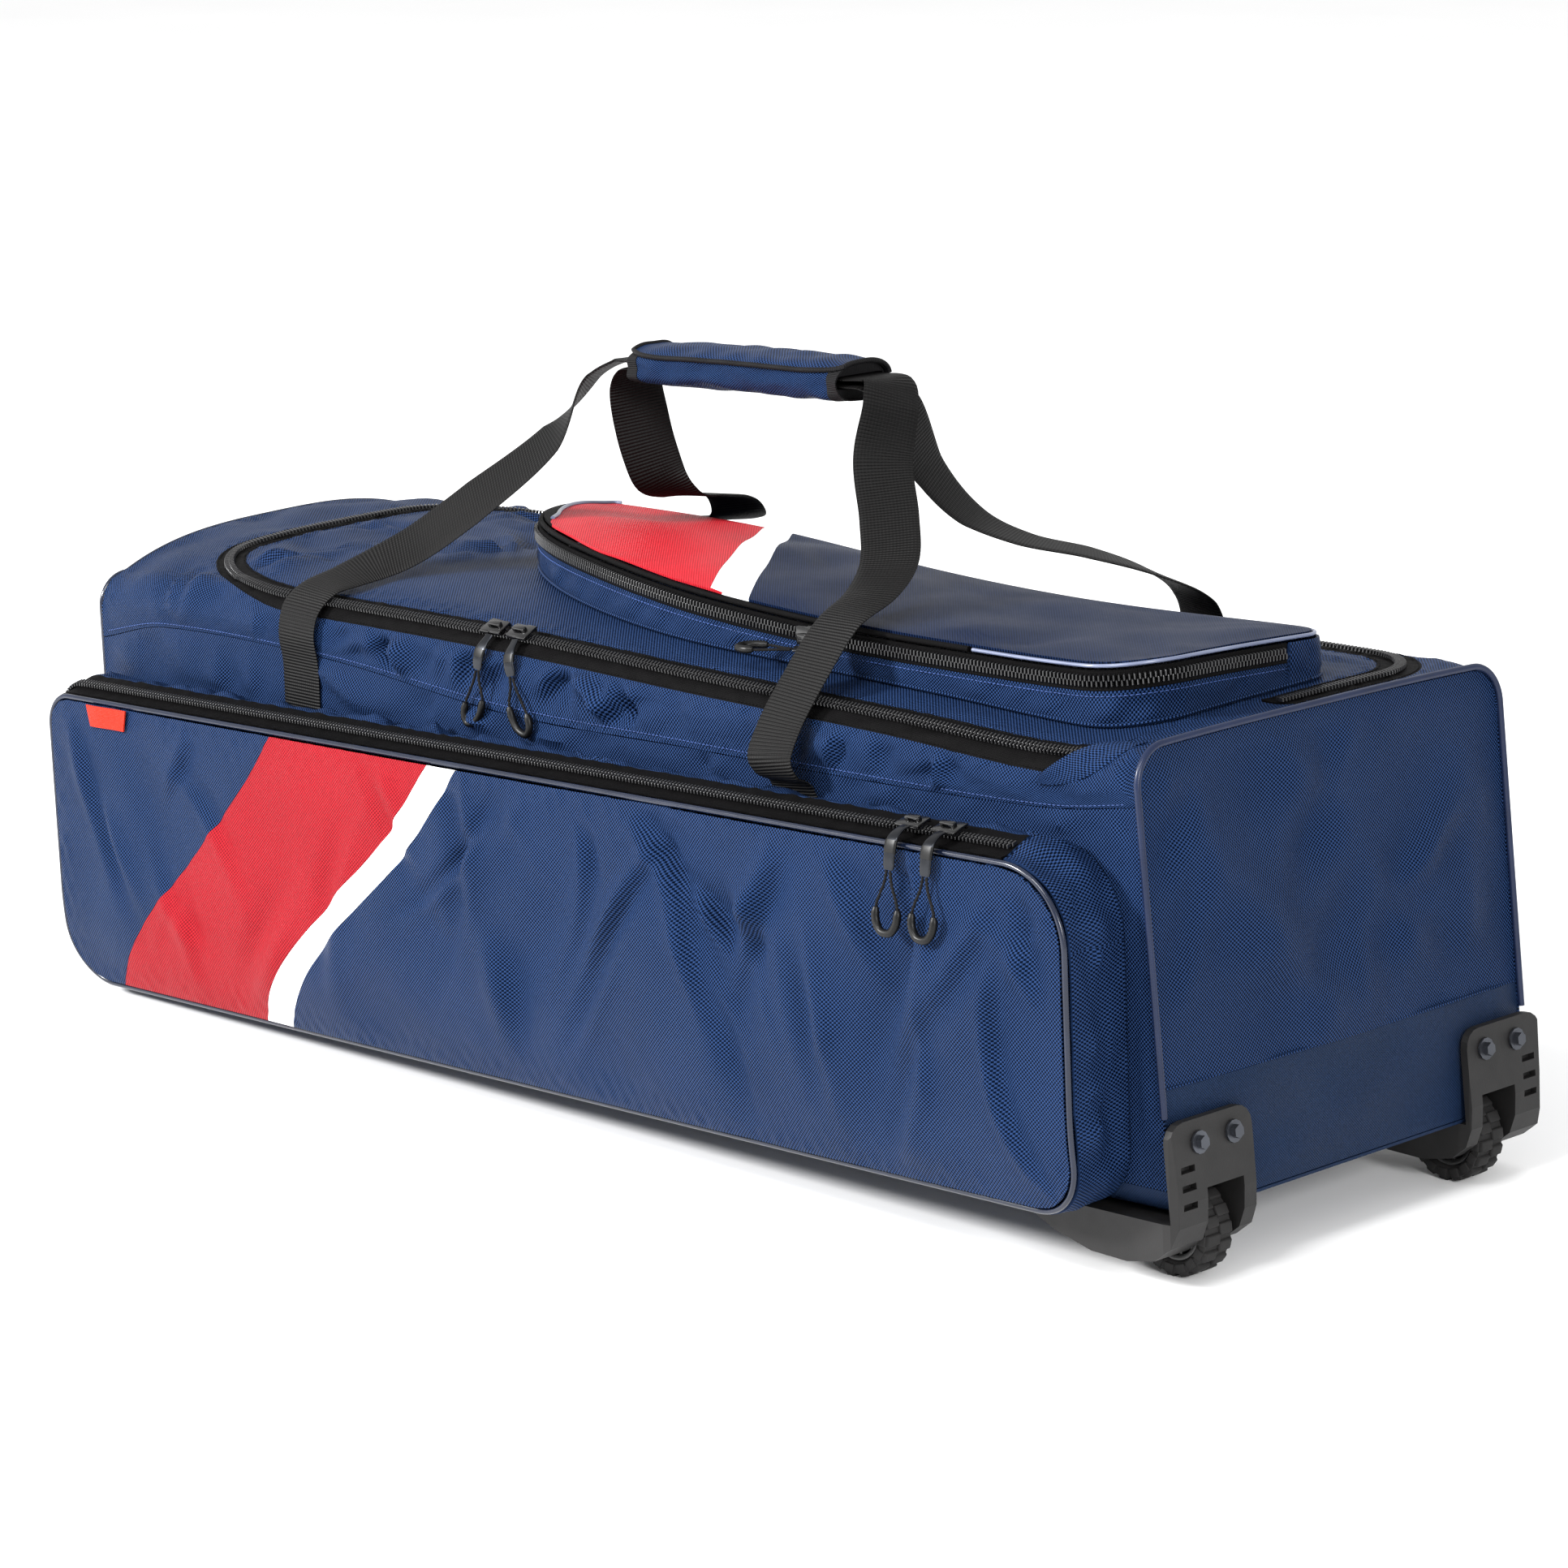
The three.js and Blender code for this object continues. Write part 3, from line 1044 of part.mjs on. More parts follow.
for (const side of [-1, 1]) {
  const end = side < 0 ? "front" : "back";
  addPiece(`wheel_housing_${end}`, housing(side), cloth(0x343333));
  const wheel = new THREE.Group();
  wheel.position.set(WHEEL.x, side * WHEEL.y, WHEEL.z);
  bag.add(wheel);
  addPiece(`tyre_${end}`, tyre(), cloth(0x242424), wheel);
  addPiece(`wheel_hub_${end}`, hub(), glossy(0x2c2c2c), wheel);
  const axle = prism(circle(AXLE_R, 10), -AXLE_HALF, AXLE_HALF, "xz");
  addPiece(`axle_${end}`, axle, metal(0x8c8c8c), wheel);
  BOLT.y.forEach((y, i) => {
    addPiece(`bolt_${end}_${["outer", "inner"][i]}`, bolt(y, side), metal(0x6b6b6b));
  });
}

// The bag stands on its wheels and on the edge of its far end; the origin is on the floor, at the
// middle of its outline
const reachToWheel = WHEEL.x - FAR_X;
const tilt = Math.atan2(-WHEEL.z, reachToWheel) + Math.asin(WHEEL.r / Math.hypot(reachToWheel, WHEEL.z));
bag.rotation.y = -tilt;
const part = new THREE.Group();
part.add(bag);
part.updateMatrixWorld(true);
const bounds = new THREE.Box3();
bag.traverse((piece) => {
  if (piece.isMesh && !piece.name.endsWith("_pull")) bounds.expandByObject(piece, true);
});
const middle = bounds.getCenter(new THREE.Vector3());
bag.position.set(-middle.x, -middle.y, -bounds.min.z);
part.updateMatrixWorld(true);

export default part;
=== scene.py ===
# A soft wheeled holdall: sewn cloth, zips, piping, webbing and wheels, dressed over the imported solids.
import math

import bmesh
import bpy
import numpy as np
from mathutils import Matrix, Vector


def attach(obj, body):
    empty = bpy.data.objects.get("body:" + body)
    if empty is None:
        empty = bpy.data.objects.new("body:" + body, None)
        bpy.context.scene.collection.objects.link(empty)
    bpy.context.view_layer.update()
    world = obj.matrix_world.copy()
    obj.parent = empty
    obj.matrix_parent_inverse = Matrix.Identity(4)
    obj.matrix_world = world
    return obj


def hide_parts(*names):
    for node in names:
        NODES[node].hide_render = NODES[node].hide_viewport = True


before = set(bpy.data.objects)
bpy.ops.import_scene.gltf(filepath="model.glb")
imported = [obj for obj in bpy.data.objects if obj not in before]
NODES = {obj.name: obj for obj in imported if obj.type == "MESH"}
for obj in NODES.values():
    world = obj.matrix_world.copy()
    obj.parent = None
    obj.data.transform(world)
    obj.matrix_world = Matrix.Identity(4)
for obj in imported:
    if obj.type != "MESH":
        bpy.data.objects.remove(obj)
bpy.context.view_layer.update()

# Sizes in millimetres, in the bag's own level frame: x along it towards the wheels, y towards its
# back, z up from its base. TILT and SHIFT stand it on its wheels in the row frame.
TILT = 0.0420429
SHIFT = np.array([14.642, 26.289, 22.024])
TURN = np.array([
    [math.cos(TILT), 0, -math.sin(TILT)],
    [0, 1, 0],
    [math.sin(TILT), 0, math.cos(TILT)],
])
X, Y, Z = np.eye(3)
FAR_X, WHEEL_END_X, FAR_LEAN, WHEEL_END_LEAN, END_HEIGHT = -524, 500, 2, 20, 279
BASE_R, SHOULDER_R, PIPING_R = 20, 24, 2.2
BASE_STEP_X, BASE_STEP_END, BASE_LIFT, KICK_TOP = 402, 410, 3, 80
BODY = {
    "x": [-524, -440, -250, -60, 110, 290, 430, 500],
    "wall": [160, 166, 167, 167, 167, 167, 166, 165],
    "front": [278, 291, 288, 284, 277, 272, 267, 279],
    "back": [289, 299, 293, 287, 280, 280, 279, 279],
    "rise": [32, 20, 21, 20, 18, 12, 9, 2],
    "seam": [246, 262, 258, 240, 238, 236, 238, 246],
}
# The way across the top, from seam to seam: up the wall, round the shoulder, then level
ACROSS, STRAIGHT, LEVEL = 400, 20, 60
LEVEL_RUN = ACROSS - 2 * LEVEL
LID_IN, LID_OUT = (-425, 446, -142, 122), (-451, 472, -163.5, 150)
LID_R, LID_TAPE = (45, 70, (124, 54), 8), 26
HINGE_X, HINGE_Y = 448, -15
CHAIN_RECT, CHAIN_R, CHAIN_END = (-438, 479, 48, 333), (55, 82, (137, 68), 14), 185
CHAIN_LIFT, CHAIN_HEIGHT, CHAIN_SINK = 0.7, 2.4, 0.9
SLIDER_LIFT = CHAIN_LIFT + CHAIN_HEIGHT + 0.4
MAIN_SLIDERS = (-82, -56)
POCKET, POCKET_R = (-519, 470, 4, 217), (50, 25, 45, 38)
POCKET_Y, TUCK_HEIGHT, TUCK, POCKET_TAPE = -215, 75, 9, 24
POCKET_ZIP_X, POCKET_ZIP_Z, POCKET_SLIDERS = 418, 60, (336, 366)
TOP, TOP_R = (-230, 438, -115, 65), (25, 10, (310, 168), 45)
TOP_HEIGHT = {"x": [-230, -60, 140, 260, 438], "height": [27, 27, 20, 20, 28]}
TOP_LIFT, TOP_BULGE, TOP_TAPE, TOP_ZIP_Y, TOP_SLIDER_X = 12, 5, 12, 20, 168
PIPING_ROOM, FACE_INSET, PANEL_GAP = PIPING_R + 1.4, 2 * PIPING_R + 0.4, 0.15
WHEEL_R, WHEEL_WIDTH, WHEEL_X, WHEEL_Y, WHEEL_Z = 29, 25, 475, 127, -13
WRAP_X0, WRAP_X1, WRAP_Z, WRAP_HALF, WRAP_HEIGHT = -96, 99, 450, 25, 13
STRAP_HALF, STRAP_THICK, STRAP_EDGE = 19, 1.0, 0.7
SLOT_Y, SLOT_Z, PLATE_SEAT = 158, 23, 4.5


def to_row(points):
    return (np.asarray(points, float) @ TURN.T + SHIFT) / 1000


def unit(v):
    return v / np.maximum(np.linalg.norm(v, axis=-1, keepdims=True), 1e-9)


def smooth(x, lo, hi):
    t = np.clip((x - lo) / (hi - lo), 0, 1)
    return t * t * (3 - 2 * t)


def blend(a, b, t):
    return a * (1 - t) + b * t


def grid(*axes):
    return np.stack(np.broadcast_arrays(*axes), -1)


def lengths(path):
    return np.concatenate([[0], np.cumsum(np.linalg.norm(np.diff(path, axis=0), axis=1))])


def read(key, x, table=BODY):
    """One column of a table at x, by a smooth curve through its rows."""
    xs, ys = np.array(table["x"], float), np.array(table[key], float)
    n = np.arange(len(xs))
    before, after = np.maximum(n - 1, 0), np.minimum(n + 1, len(xs) - 1)
    slope = (ys[after] - ys[before]) / (xs[after] - xs[before])
    x = np.clip(x, xs[0], xs[-1])
    k = np.clip(np.searchsorted(xs, x) - 1, 0, len(xs) - 2)
    span = xs[k + 1] - xs[k]
    t = (x - xs[k]) / span
    ends = t * (1 - t) ** 2 * slope[k] + t * t * (t - 1) * slope[k + 1]
    return ys[k] + (ys[k + 1] - ys[k]) * t * t * (3 - 2 * t) + span * ends


# Folds

def waves(seed, length, *axes, count=12):
    """Smooth seeded noise of about unit size, with features about `length` across."""
    rng = np.random.default_rng(seed)
    total = 0.0
    for _ in range(count):
        k = rng.normal(size=len(axes))
        k *= rng.uniform(0.6, 1.5) / (length * np.linalg.norm(k))
        phase = rng.random()
        total = total + np.sin(2 * np.pi * (sum(a * b for a, b in zip(k, axes)) + phase))
    return total * math.sqrt(2 / count)


def creases(seed, length, *axes, width=0.3):
    """Soft ridges that wander over a surface and fade in and out."""
    ridge = np.exp(-((waves(seed, length, *axes) / width) ** 2))
    return ridge * np.clip(0.5 + 0.6 * waves(seed + 1, 1.6 * length, *axes), 0, 1.3)


def turned(x, y, cx, cy, angle):
    """Distances along and across a line through (cx, cy)."""
    c, s = math.cos(angle), math.sin(angle)
    return (x - cx) * c + (y - cy) * s, (y - cy) * c - (x - cx) * s


def crumple(seed, x, y, box, count, length, width, depth, angles):
    """Seeded sharp folds on a panel, each with a raised and a sunk side."""
    rng = np.random.default_rng(seed)
    total = 0.0
    for _ in range(count):
        cx, cy = rng.uniform(box[0], box[1]), rng.uniform(box[2], box[3])
        u, v = turned(x, y, cx, cy, math.radians(rng.choice(angles) + rng.normal(0, 9)))
        v = v + rng.normal(0, 0.0025) * u * u
        reach, side = length * rng.uniform(0.5, 1.3), width * rng.uniform(0.6, 1.5)
        height = depth * rng.uniform(-1.2, 1.2)
        total = total + height * (v / side) * np.exp(-((u / reach) ** 2) - (v / side) ** 2)
    return 2.2 * total


def placed_folds(x, y, table, steep=0.0):
    """Folds from a table; a steep one has a raised and a sunk side."""
    total = 0.0
    for cx, cy, angle, length, width, depth in table:
        u, v = turned(x, y, cx, cy, math.radians(angle))
        side = steep * v / width if steep else 1
        total = total + depth * side * np.exp(-((u / length) ** 2) - (v / width) ** 2)
    return total


# x, z (or y, z), angle, half length, half width and depth of each fold
POCKET_FOLDS = [
    (150, 165, -52, 75, 20, 7), (190, 95, -85, 70, 18, 6), (320, 110, -100, 65, 20, 8),
    (395, 135, 60, 60, 20, -6), (20, 120, 60, 80, 24, 6), (-400, 150, -65, 60, 20, 5),
    (-190, 60, 40, 70, 25, -5),
]
SHARP_FOLDS = [
    (128, 180, -50, 42, 9, -4.0), (152, 128, -70, 34, 8, -3.6), (262, 105, -80, 44, 11, 4.0),
    (300, 175, -62, 50, 12, -3.6), (390, 150, 55, 46, 11, 3.6), (60, 195, -65, 30, 8, 2.6),
    (-470, 150, -70, 44, 9, -3.2), (-445, 110, -60, 40, 10, 3.0), (340, 60, 70, 40, 11, -2.6),
]
WHEEL_END_FOLDS = [
    (-72, 160, -48, 105, 22, 9), (-22, 190, -48, 95, 30, -5), (60, 130, -40, 90, 24, -3),
    (110, 190, 60, 60, 22, 3),
]


# Surfaces

def lean_x(station, z):
    far = FAR_X + FAR_LEAN * z / END_HEIGHT
    wheel = WHEEL_END_X - WHEEL_END_LEAN * z / END_HEIGHT
    return far + (wheel - far) * (station - FAR_X) / (WHEEL_END_X - FAR_X)


def station_at(x, z):
    far = lean_x(FAR_X, z)
    return FAR_X + (WHEEL_END_X - FAR_X) * (x - far) / (lean_x(WHEEL_END_X, z) - far)


def top_height(station, y):
    half = read("wall", station)
    t = (y + half) / (2 * half)
    line = read("front", station) + (read("back", station) - read("front", station)) * t
    return line + read("rise", station) * (1 - np.abs(2 * t - 1) ** 3)


def top_point(station, s):
    """The top at a way s across it, from the front seam at 0 to the back seam at ACROSS."""
    station, s = np.broadcast_arrays(np.asarray(station, float), np.asarray(s, float))
    side = np.where(s < ACROSS / 2, -1, 1)
    d = np.where(s < ACROSS / 2, s, ACROSS - s)
    half = read("wall", station)
    flat = half - SHOULDER_R
    foot = top_height(station, side * flat) - SHOULDER_R
    seam = read("seam", station)
    angle = np.clip((d - STRAIGHT) / (LEVEL - STRAIGHT), 0, 1) * np.pi / 2
    round_y = side * (half - SHOULDER_R * (1 - np.cos(angle)))
    y = np.where(d > LEVEL, -flat + 2 * flat * (s - LEVEL) / LEVEL_RUN, round_y)
    z = np.where(d < STRAIGHT, seam + (foot - seam) * d / STRAIGHT, foot + SHOULDER_R * np.sin(angle))
    z = np.where(d > LEVEL, top_height(station, y), z)
    return np.stack([lean_x(station, z), y, z], -1)


def top_normal(station, s):
    along = top_point(station + 2, s) - top_point(station - 2, s)
    across = top_point(station, np.minimum(s + 1.5, ACROSS)) - top_point(station, np.maximum(s - 1.5, 0))
    return unit(np.cross(along, across))


def over_top(station, s, height):
    s = np.clip(s, 0, ACROSS)
    return top_point(station, s) + top_normal(station, s) * np.asarray(height, float)[..., None]


def across_at(station, y):
    """The way across the top at a given y."""
    half = read("wall", station)
    flat = half - SHOULDER_R
    angle = np.arccos(np.clip(1 - (half - np.abs(y)) / SHOULDER_R, -1, 1))
    d = STRAIGHT + (LEVEL - STRAIGHT) * angle / (np.pi / 2)
    level = LEVEL + LEVEL_RUN * (y + flat) / (2 * flat)
    return np.where(np.abs(y) < flat, level, np.where(y < 0, d, ACROSS - d))


def lid_z(x, y):
    return top_height(station_at(x, END_HEIGHT), y)


def ring_station(points):
    """Stations and ways across of points on the lid."""
    x, y = points[:, 0], points[:, 1]
    station = station_at(x, lid_z(x, y))
    return station, across_at(station, y)


def middle_of(rect, x, y):
    """1 in the middle of a rectangle and 0 at its edges."""
    u = np.clip((x - rect[0]) / (rect[1] - rect[0]), 0, 1)
    v = np.clip((y - rect[2]) / (rect[3] - rect[2]), 0, 1)
    return np.sqrt(16 * u * (1 - u) * v * (1 - v))


def pocket_edge_y(z):
    low = np.clip(1 - (z - POCKET[2]) / TUCK_HEIGHT, 0, 1)
    return POCKET_Y + TUCK * low * low


def pocket_face_y(x, z):
    middle = middle_of(POCKET, x, z)
    return pocket_edge_y(z) - 9 * middle + placed_folds(x, z, POCKET_FOLDS) * np.minimum(1, 2 * middle)


def zip_rise(normals, y):
    """How far the pocket's zip side stands above its rim, towards the wall."""
    depth = y - POCKET_Y
    return np.maximum(normals[..., 1], 0) ** 2 * (9 * smooth(depth, 2, 32) - 5 * smooth(depth, 32, 48))


def top_edge_z(x, y):
    """The top pocket's edge, which stands higher over the lid towards its front."""
    lift = TOP_LIFT * (TOP[3] - y) / (TOP[3] - TOP[2])
    return lid_z(x, y) + read("height", x, TOP_HEIGHT) + lift


# Outlines

def corner_arcs(rect, radii, counts, inset=0.0):
    """Points and outward normals of a rectangle's four corners; a pair of radii makes an oval one."""
    x0, x1, y0, y1 = rect
    arcs = []
    for k, (x, y, sx, sy) in enumerate(((x1, y1, 1, 1), (x0, y1, -1, 1), (x0, y0, -1, -1), (x1, y0, 1, -1))):
        r = np.broadcast_to(np.asarray(radii[k], float), 2)
        angle = math.pi / 2 * (k + np.linspace(0, 1, counts[k] + 1))
        turn = np.stack([np.cos(angle), np.sin(angle)], 1)
        centre = np.array([x, y]) - np.array([sx, sy]) * np.maximum(r, inset)
        arcs.append((centre + np.maximum(r - inset, 0) * turn, unit(turn * r[::-1])))
    return arcs


def rounded_loop(rect, radii, step=3.0, inset=0.0, like=None):
    """Points round a rectangle and their outward normals, with as many as the loop `like` has; radii
    run from the corner (x1, y1) round to (x0, y1), (x0, y0) and (x1, y0)."""
    base_rect, base_radii = like or (rect, radii)
    counts = [max(5, round(float(np.mean(r)) * math.pi / 2 / step)) for r in base_radii]
    plain, arcs = corner_arcs(base_rect, base_radii, counts), corner_arcs(rect, radii, counts, inset)
    points, normals = [], []
    for k in range(4):
        (arc, normal), after = arcs[k], arcs[(k + 1) % 4]
        length = np.linalg.norm(plain[(k + 1) % 4][0][0] - plain[k][0][-1])
        t = np.linspace(0, 1, max(1, round(length / step)) + 1)[1:-1, None]
        points += [arc, blend(arc[-1], after[0][0], t)]
        normals += [normal, np.repeat(normal[-1:], len(t), 0)]
    return np.concatenate(points), np.concatenate(normals)


def rim_x(rect, radii, at, inset, side):
    """Where a rounded rectangle's side is at a height, moved in by inset; side is -1 for its low x."""
    x0, x1, y0, y1 = rect
    top, foot = (radii[1], radii[2]) if side < 0 else (radii[0], radii[3])
    cut = np.zeros_like(at)
    for r, edge, way in ((top, y1, 1), (foot, y0, -1)):
        rx, ry = np.broadcast_to(np.asarray(r, float), 2)
        over = np.clip((way * (at - edge) + ry) / (ry - inset), 0, 1)
        cut = np.maximum(cut, (rx - inset) * (1 - np.sqrt(1 - over**2)))
    return x0 + inset + cut if side < 0 else x1 - inset - cut


def rim_distance(rect, radii, x, y):
    """How far points of a rounded rectangle are from its edges."""
    low, high = (rim_x(rect, radii, y, 0, side) for side in (-1, 1))
    return np.minimum(np.minimum(x - low, high - x), np.minimum(y - rect[2], rect[3] - y))


def run_of(mask):
    """Indices of the one run of a closed loop where mask holds, in order."""
    n = len(mask)
    start = next(i for i in range(n) if mask[i] and not mask[i - 1])
    return np.array([i % n for i in range(start, start + n) if mask[i % n]])


def spline(rows, step):
    """A smooth curve through points, sampled about every `step`; also the row number at each sample."""
    p = np.asarray(rows, float)
    p = np.concatenate([[2 * p[0] - p[1]], p, [2 * p[-1] - p[-2]]])
    points, places = [], []
    for i in range(1, len(p) - 2):
        a, b, c, d = p[i - 1:i + 3]
        da, db, dc = (max(np.linalg.norm(v) ** 0.5, 1e-6) for v in (b - a, c - b, d - c))
        m0 = ((b - a) / da - (c - a) / (da + db) + (c - b) / db) * db
        m1 = ((c - b) / db - (d - b) / (db + dc) + (d - c) / dc) * db
        count = max(1, round(np.linalg.norm(c - b) / step))
        t = (np.arange(count + (i == len(p) - 3)) / count)[:, None]
        h = t * t * (3 - 2 * t)
        points.append(b + (c - b) * h + t * (1 - t) ** 2 * m0 + t * t * (t - 1) * m1)
        places.append(i - 1 + t[:, 0])
    return np.concatenate(points), np.concatenate(places)


# Making pieces

def new_object(name, data):
    obj = bpy.data.objects.new(name, data)
    bpy.context.scene.collection.objects.link(obj)
    return obj


def finish_mesh(name, points, faces, material, body="bag", uv=None, sharp=40, slot=None):
    """A piece on its body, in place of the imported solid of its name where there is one."""
    mesh = bpy.data.meshes.new(name)
    mesh.from_pydata(to_row(points).tolist(), [], faces)
    if uv is not None:
        layer = mesh.uv_layers.new(name="UVMap")
        corner = np.zeros(len(mesh.loops), np.int32)
        mesh.loops.foreach_get("vertex_index", corner)
        flat = np.asarray(uv, float)[corner] if len(uv) == len(points) else np.asarray(uv, float)
        layer.data.foreach_set("uv", (flat / 1000).ravel())
    mesh.validate()
    mesh.shade_smooth()
    mesh.set_sharp_from_angle(angle=math.radians(sharp))
    mesh.materials.append(material)
    obj = new_object(name, mesh)
    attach(obj, body)
    if name in NODES:
        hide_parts(name)
    return obj


def sheet(name, points, material, outward, uv=None, thick=1.8, wrap=False, keep=None):
    """A sheet of cloth on a grid of points, with a second layer under it and closed edges."""
    rows, cols = points.shape[:2]
    along = np.roll(points, -1, 0) - np.roll(points, 1, 0) if wrap else np.gradient(points, axis=0)
    normal = unit(np.cross(along, np.gradient(points, axis=1)))
    if np.mean(np.sum(normal * outward, -1)) < 0:
        normal = -normal
    inner = points - thick * normal
    i, j = np.meshgrid(np.arange(rows if wrap else rows - 1), np.arange(cols - 1), indexing="ij")
    here, after = i * cols + j, (i + 1) % rows * cols + j
    quads = np.stack([here, after, after + 1, here + 1], -1).reshape(-1, 4)
    if keep is not None:
        quads = quads[keep.ravel()]
    a, b, c = (points.reshape(-1, 3)[quads[:, k]] for k in range(3))
    out = normal.reshape(-1, 3)[quads[:, 0]]
    if np.mean(np.sum(np.cross(b - a, c - b) * out, -1)) < 0:
        quads = quads[:, ::-1]
    edges = np.concatenate([quads[:, [k, (k + 1) % 4]] for k in range(4)])
    _, first, count = np.unique(np.sort(edges, 1), axis=0, return_index=True, return_counts=True)
    p, q = edges[first[count == 1]].T
    shift = rows * cols
    corner = np.concatenate([quads, quads[:, ::-1] + shift, np.stack([q, p, p + shift, q + shift], 1)])
    if uv is None:
        steps = [np.linalg.norm(np.diff(points, axis=k), axis=-1).mean(1 - k) for k in (0, 1)]
        u, v = (np.concatenate([[0], np.cumsum(step)]) for step in steps)
        uv = grid(u[:, None], v[None, :])
    flat = np.concatenate([uv.reshape(-1, 2)] * 2)[corner]
    if wrap:
        span = np.ptp(uv[..., 0])
        lap = np.ptp(flat[..., 0], axis=1) > 0.5 * span
        flat[..., 0] += span * rows / (rows - 1) * (lap[:, None] & (flat[..., 0] < 0.5 * span))
    every = np.concatenate([points.reshape(-1, 3), inner.reshape(-1, 3)])
    return finish_mesh(name, every, corner.tolist(), material, uv=flat.reshape(-1, 2))


def frames_along(path, direction, closed=False):
    """Axes a and b across a path, with b as near as it can be to the given direction."""
    tangent = unit(np.roll(path, -1, 0) - np.roll(path, 1, 0) if closed else np.gradient(path, axis=0))
    wanted = np.broadcast_to(np.asarray(direction, float), path.shape)
    b = unit(wanted - tangent * np.sum(wanted * tangent, -1, keepdims=True))
    return np.cross(tangent, b), b


def swept(path, a, b, section, closed=False):
    """Points, faces and lengths of a closed section carried along a path."""
    section = np.asarray(section, float)
    if section.ndim == 2:
        section = np.broadcast_to(section, (len(path),) + section.shape)
    rings = path[:, None] + a[:, None] * section[..., :1] + b[:, None] * section[..., 1:]
    n, count = rings.shape[:2]
    i, j = np.meshgrid(np.arange(n if closed else n - 1), np.arange(count), indexing="ij")
    k, m = (i + 1) % n, (j + 1) % count
    faces = np.stack([i * count + j, i * count + m, k * count + m, k * count + j], -1).reshape(-1, 4).tolist()
    if not closed:
        faces += [list(range(count))[::-1], [(n - 1) * count + x for x in range(count)]]
    uv = grid(lengths(path)[:, None], lengths(section[0])[None, :])
    return rings.reshape(-1, 3), faces, uv.reshape(-1, 2)


def circle(radius, sides=12):
    a = 2 * np.pi * np.arange(sides) / sides
    return np.stack([radius * np.cos(a), radius * np.sin(a)], 1)


def tube(name, path, direction, radius, material, closed=False):
    a, b = frames_along(path, direction, closed)
    points, faces, uv = swept(path, a, b, circle(radius), closed)
    finish_mesh(name, points, faces, material, uv=uv)


def resample(path, away, pitch):
    """Places every `pitch` along a path, with axes along it, across it and away from the cloth."""
    length = lengths(path)
    at = np.arange(pitch, length[-1] - pitch, pitch)
    place, up = (np.stack([np.interp(at, length, v[:, k]) for k in range(3)], 1) for v in (path, away))
    tangent = unit(np.gradient(place, axis=0))
    up = unit(up - tangent * np.sum(up * tangent, -1, keepdims=True))
    return place, tangent, np.cross(up, tangent), up


def spokes(count, shift=0.0):
    """Directions round an axle: outward, and along the turn."""
    angle = 2 * np.pi * (np.arange(count) + shift) / count
    c, s, none = np.cos(angle), np.sin(angle), 0 * angle
    return np.stack([c, none, s], 1), np.stack([-s, none, c], 1)


class Soup:
    """Small shapes gathered into one mesh."""

    def __init__(self):
        self.points, self.faces, self.count = [], [], 0

    def add(self, points, faces):
        self.points.append(np.asarray(points, float))
        self.faces += [[v + self.count for v in f] for f in faces]
        self.count += len(points)

    def copies(self, shape, places, a, b, c):
        """One small shape at many places, each with its own three axes."""
        points, faces = shape
        a, b, c = (axis[:, None] * points[None, :, k:k + 1] for k, axis in enumerate((a, b, c)))
        for every in places[:, None] + a + b + c:
            self.add(every, faces)

    def turn(self, profile, centre, sides=48):
        """A closed profile of (radius, y) pairs turned about y."""
        a = spokes(sides)[0]
        points, faces, _ = swept(np.zeros((sides, 3)), a, np.broadcast_to(Y, a.shape), profile, True)
        self.add(points + centre, faces)

    def make(self, name, material, **more):
        return finish_mesh(name, np.concatenate(self.points), self.faces, material, **more)


def block(size, bevel=0.0, segments=2, taper=1.0, at=(0, 0, 0)):
    """Points and faces of a box with rounded edges; its top face is smaller by `taper`."""
    bm = bmesh.new()
    bmesh.ops.create_cube(bm, size=1)
    for v in bm.verts:
        k = taper if v.co.z > 0 else 1
        v.co = Vector((v.co.x * size[0] * k, v.co.y * size[1] * k, v.co.z * size[2]))
    if bevel:
        bmesh.ops.bevel(bm, geom=bm.edges[:], offset=bevel, segments=segments, affect="EDGES", profile=0.5)
    bm.verts.index_update()
    points = np.array([v.co + Vector(at) for v in bm.verts])
    faces = [[v.index for v in f.verts] for f in bm.faces]
    bm.free()
    return points, faces


def dress(material, *names):
    """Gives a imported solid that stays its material."""
    for name in names:
        slots = NODES[name].data.materials
        slots.clear()
        slots.append(material)


# Materials

def linear(code):
    """A colour from its usual six-figure code, as linear values."""
    parts = [int(code[i:i + 2], 16) / 255 for i in (0, 2, 4)]
    return [p / 12.92 if p <= 0.04045 else ((p + 0.055) / 1.055) ** 2.4 for p in parts] + [1]


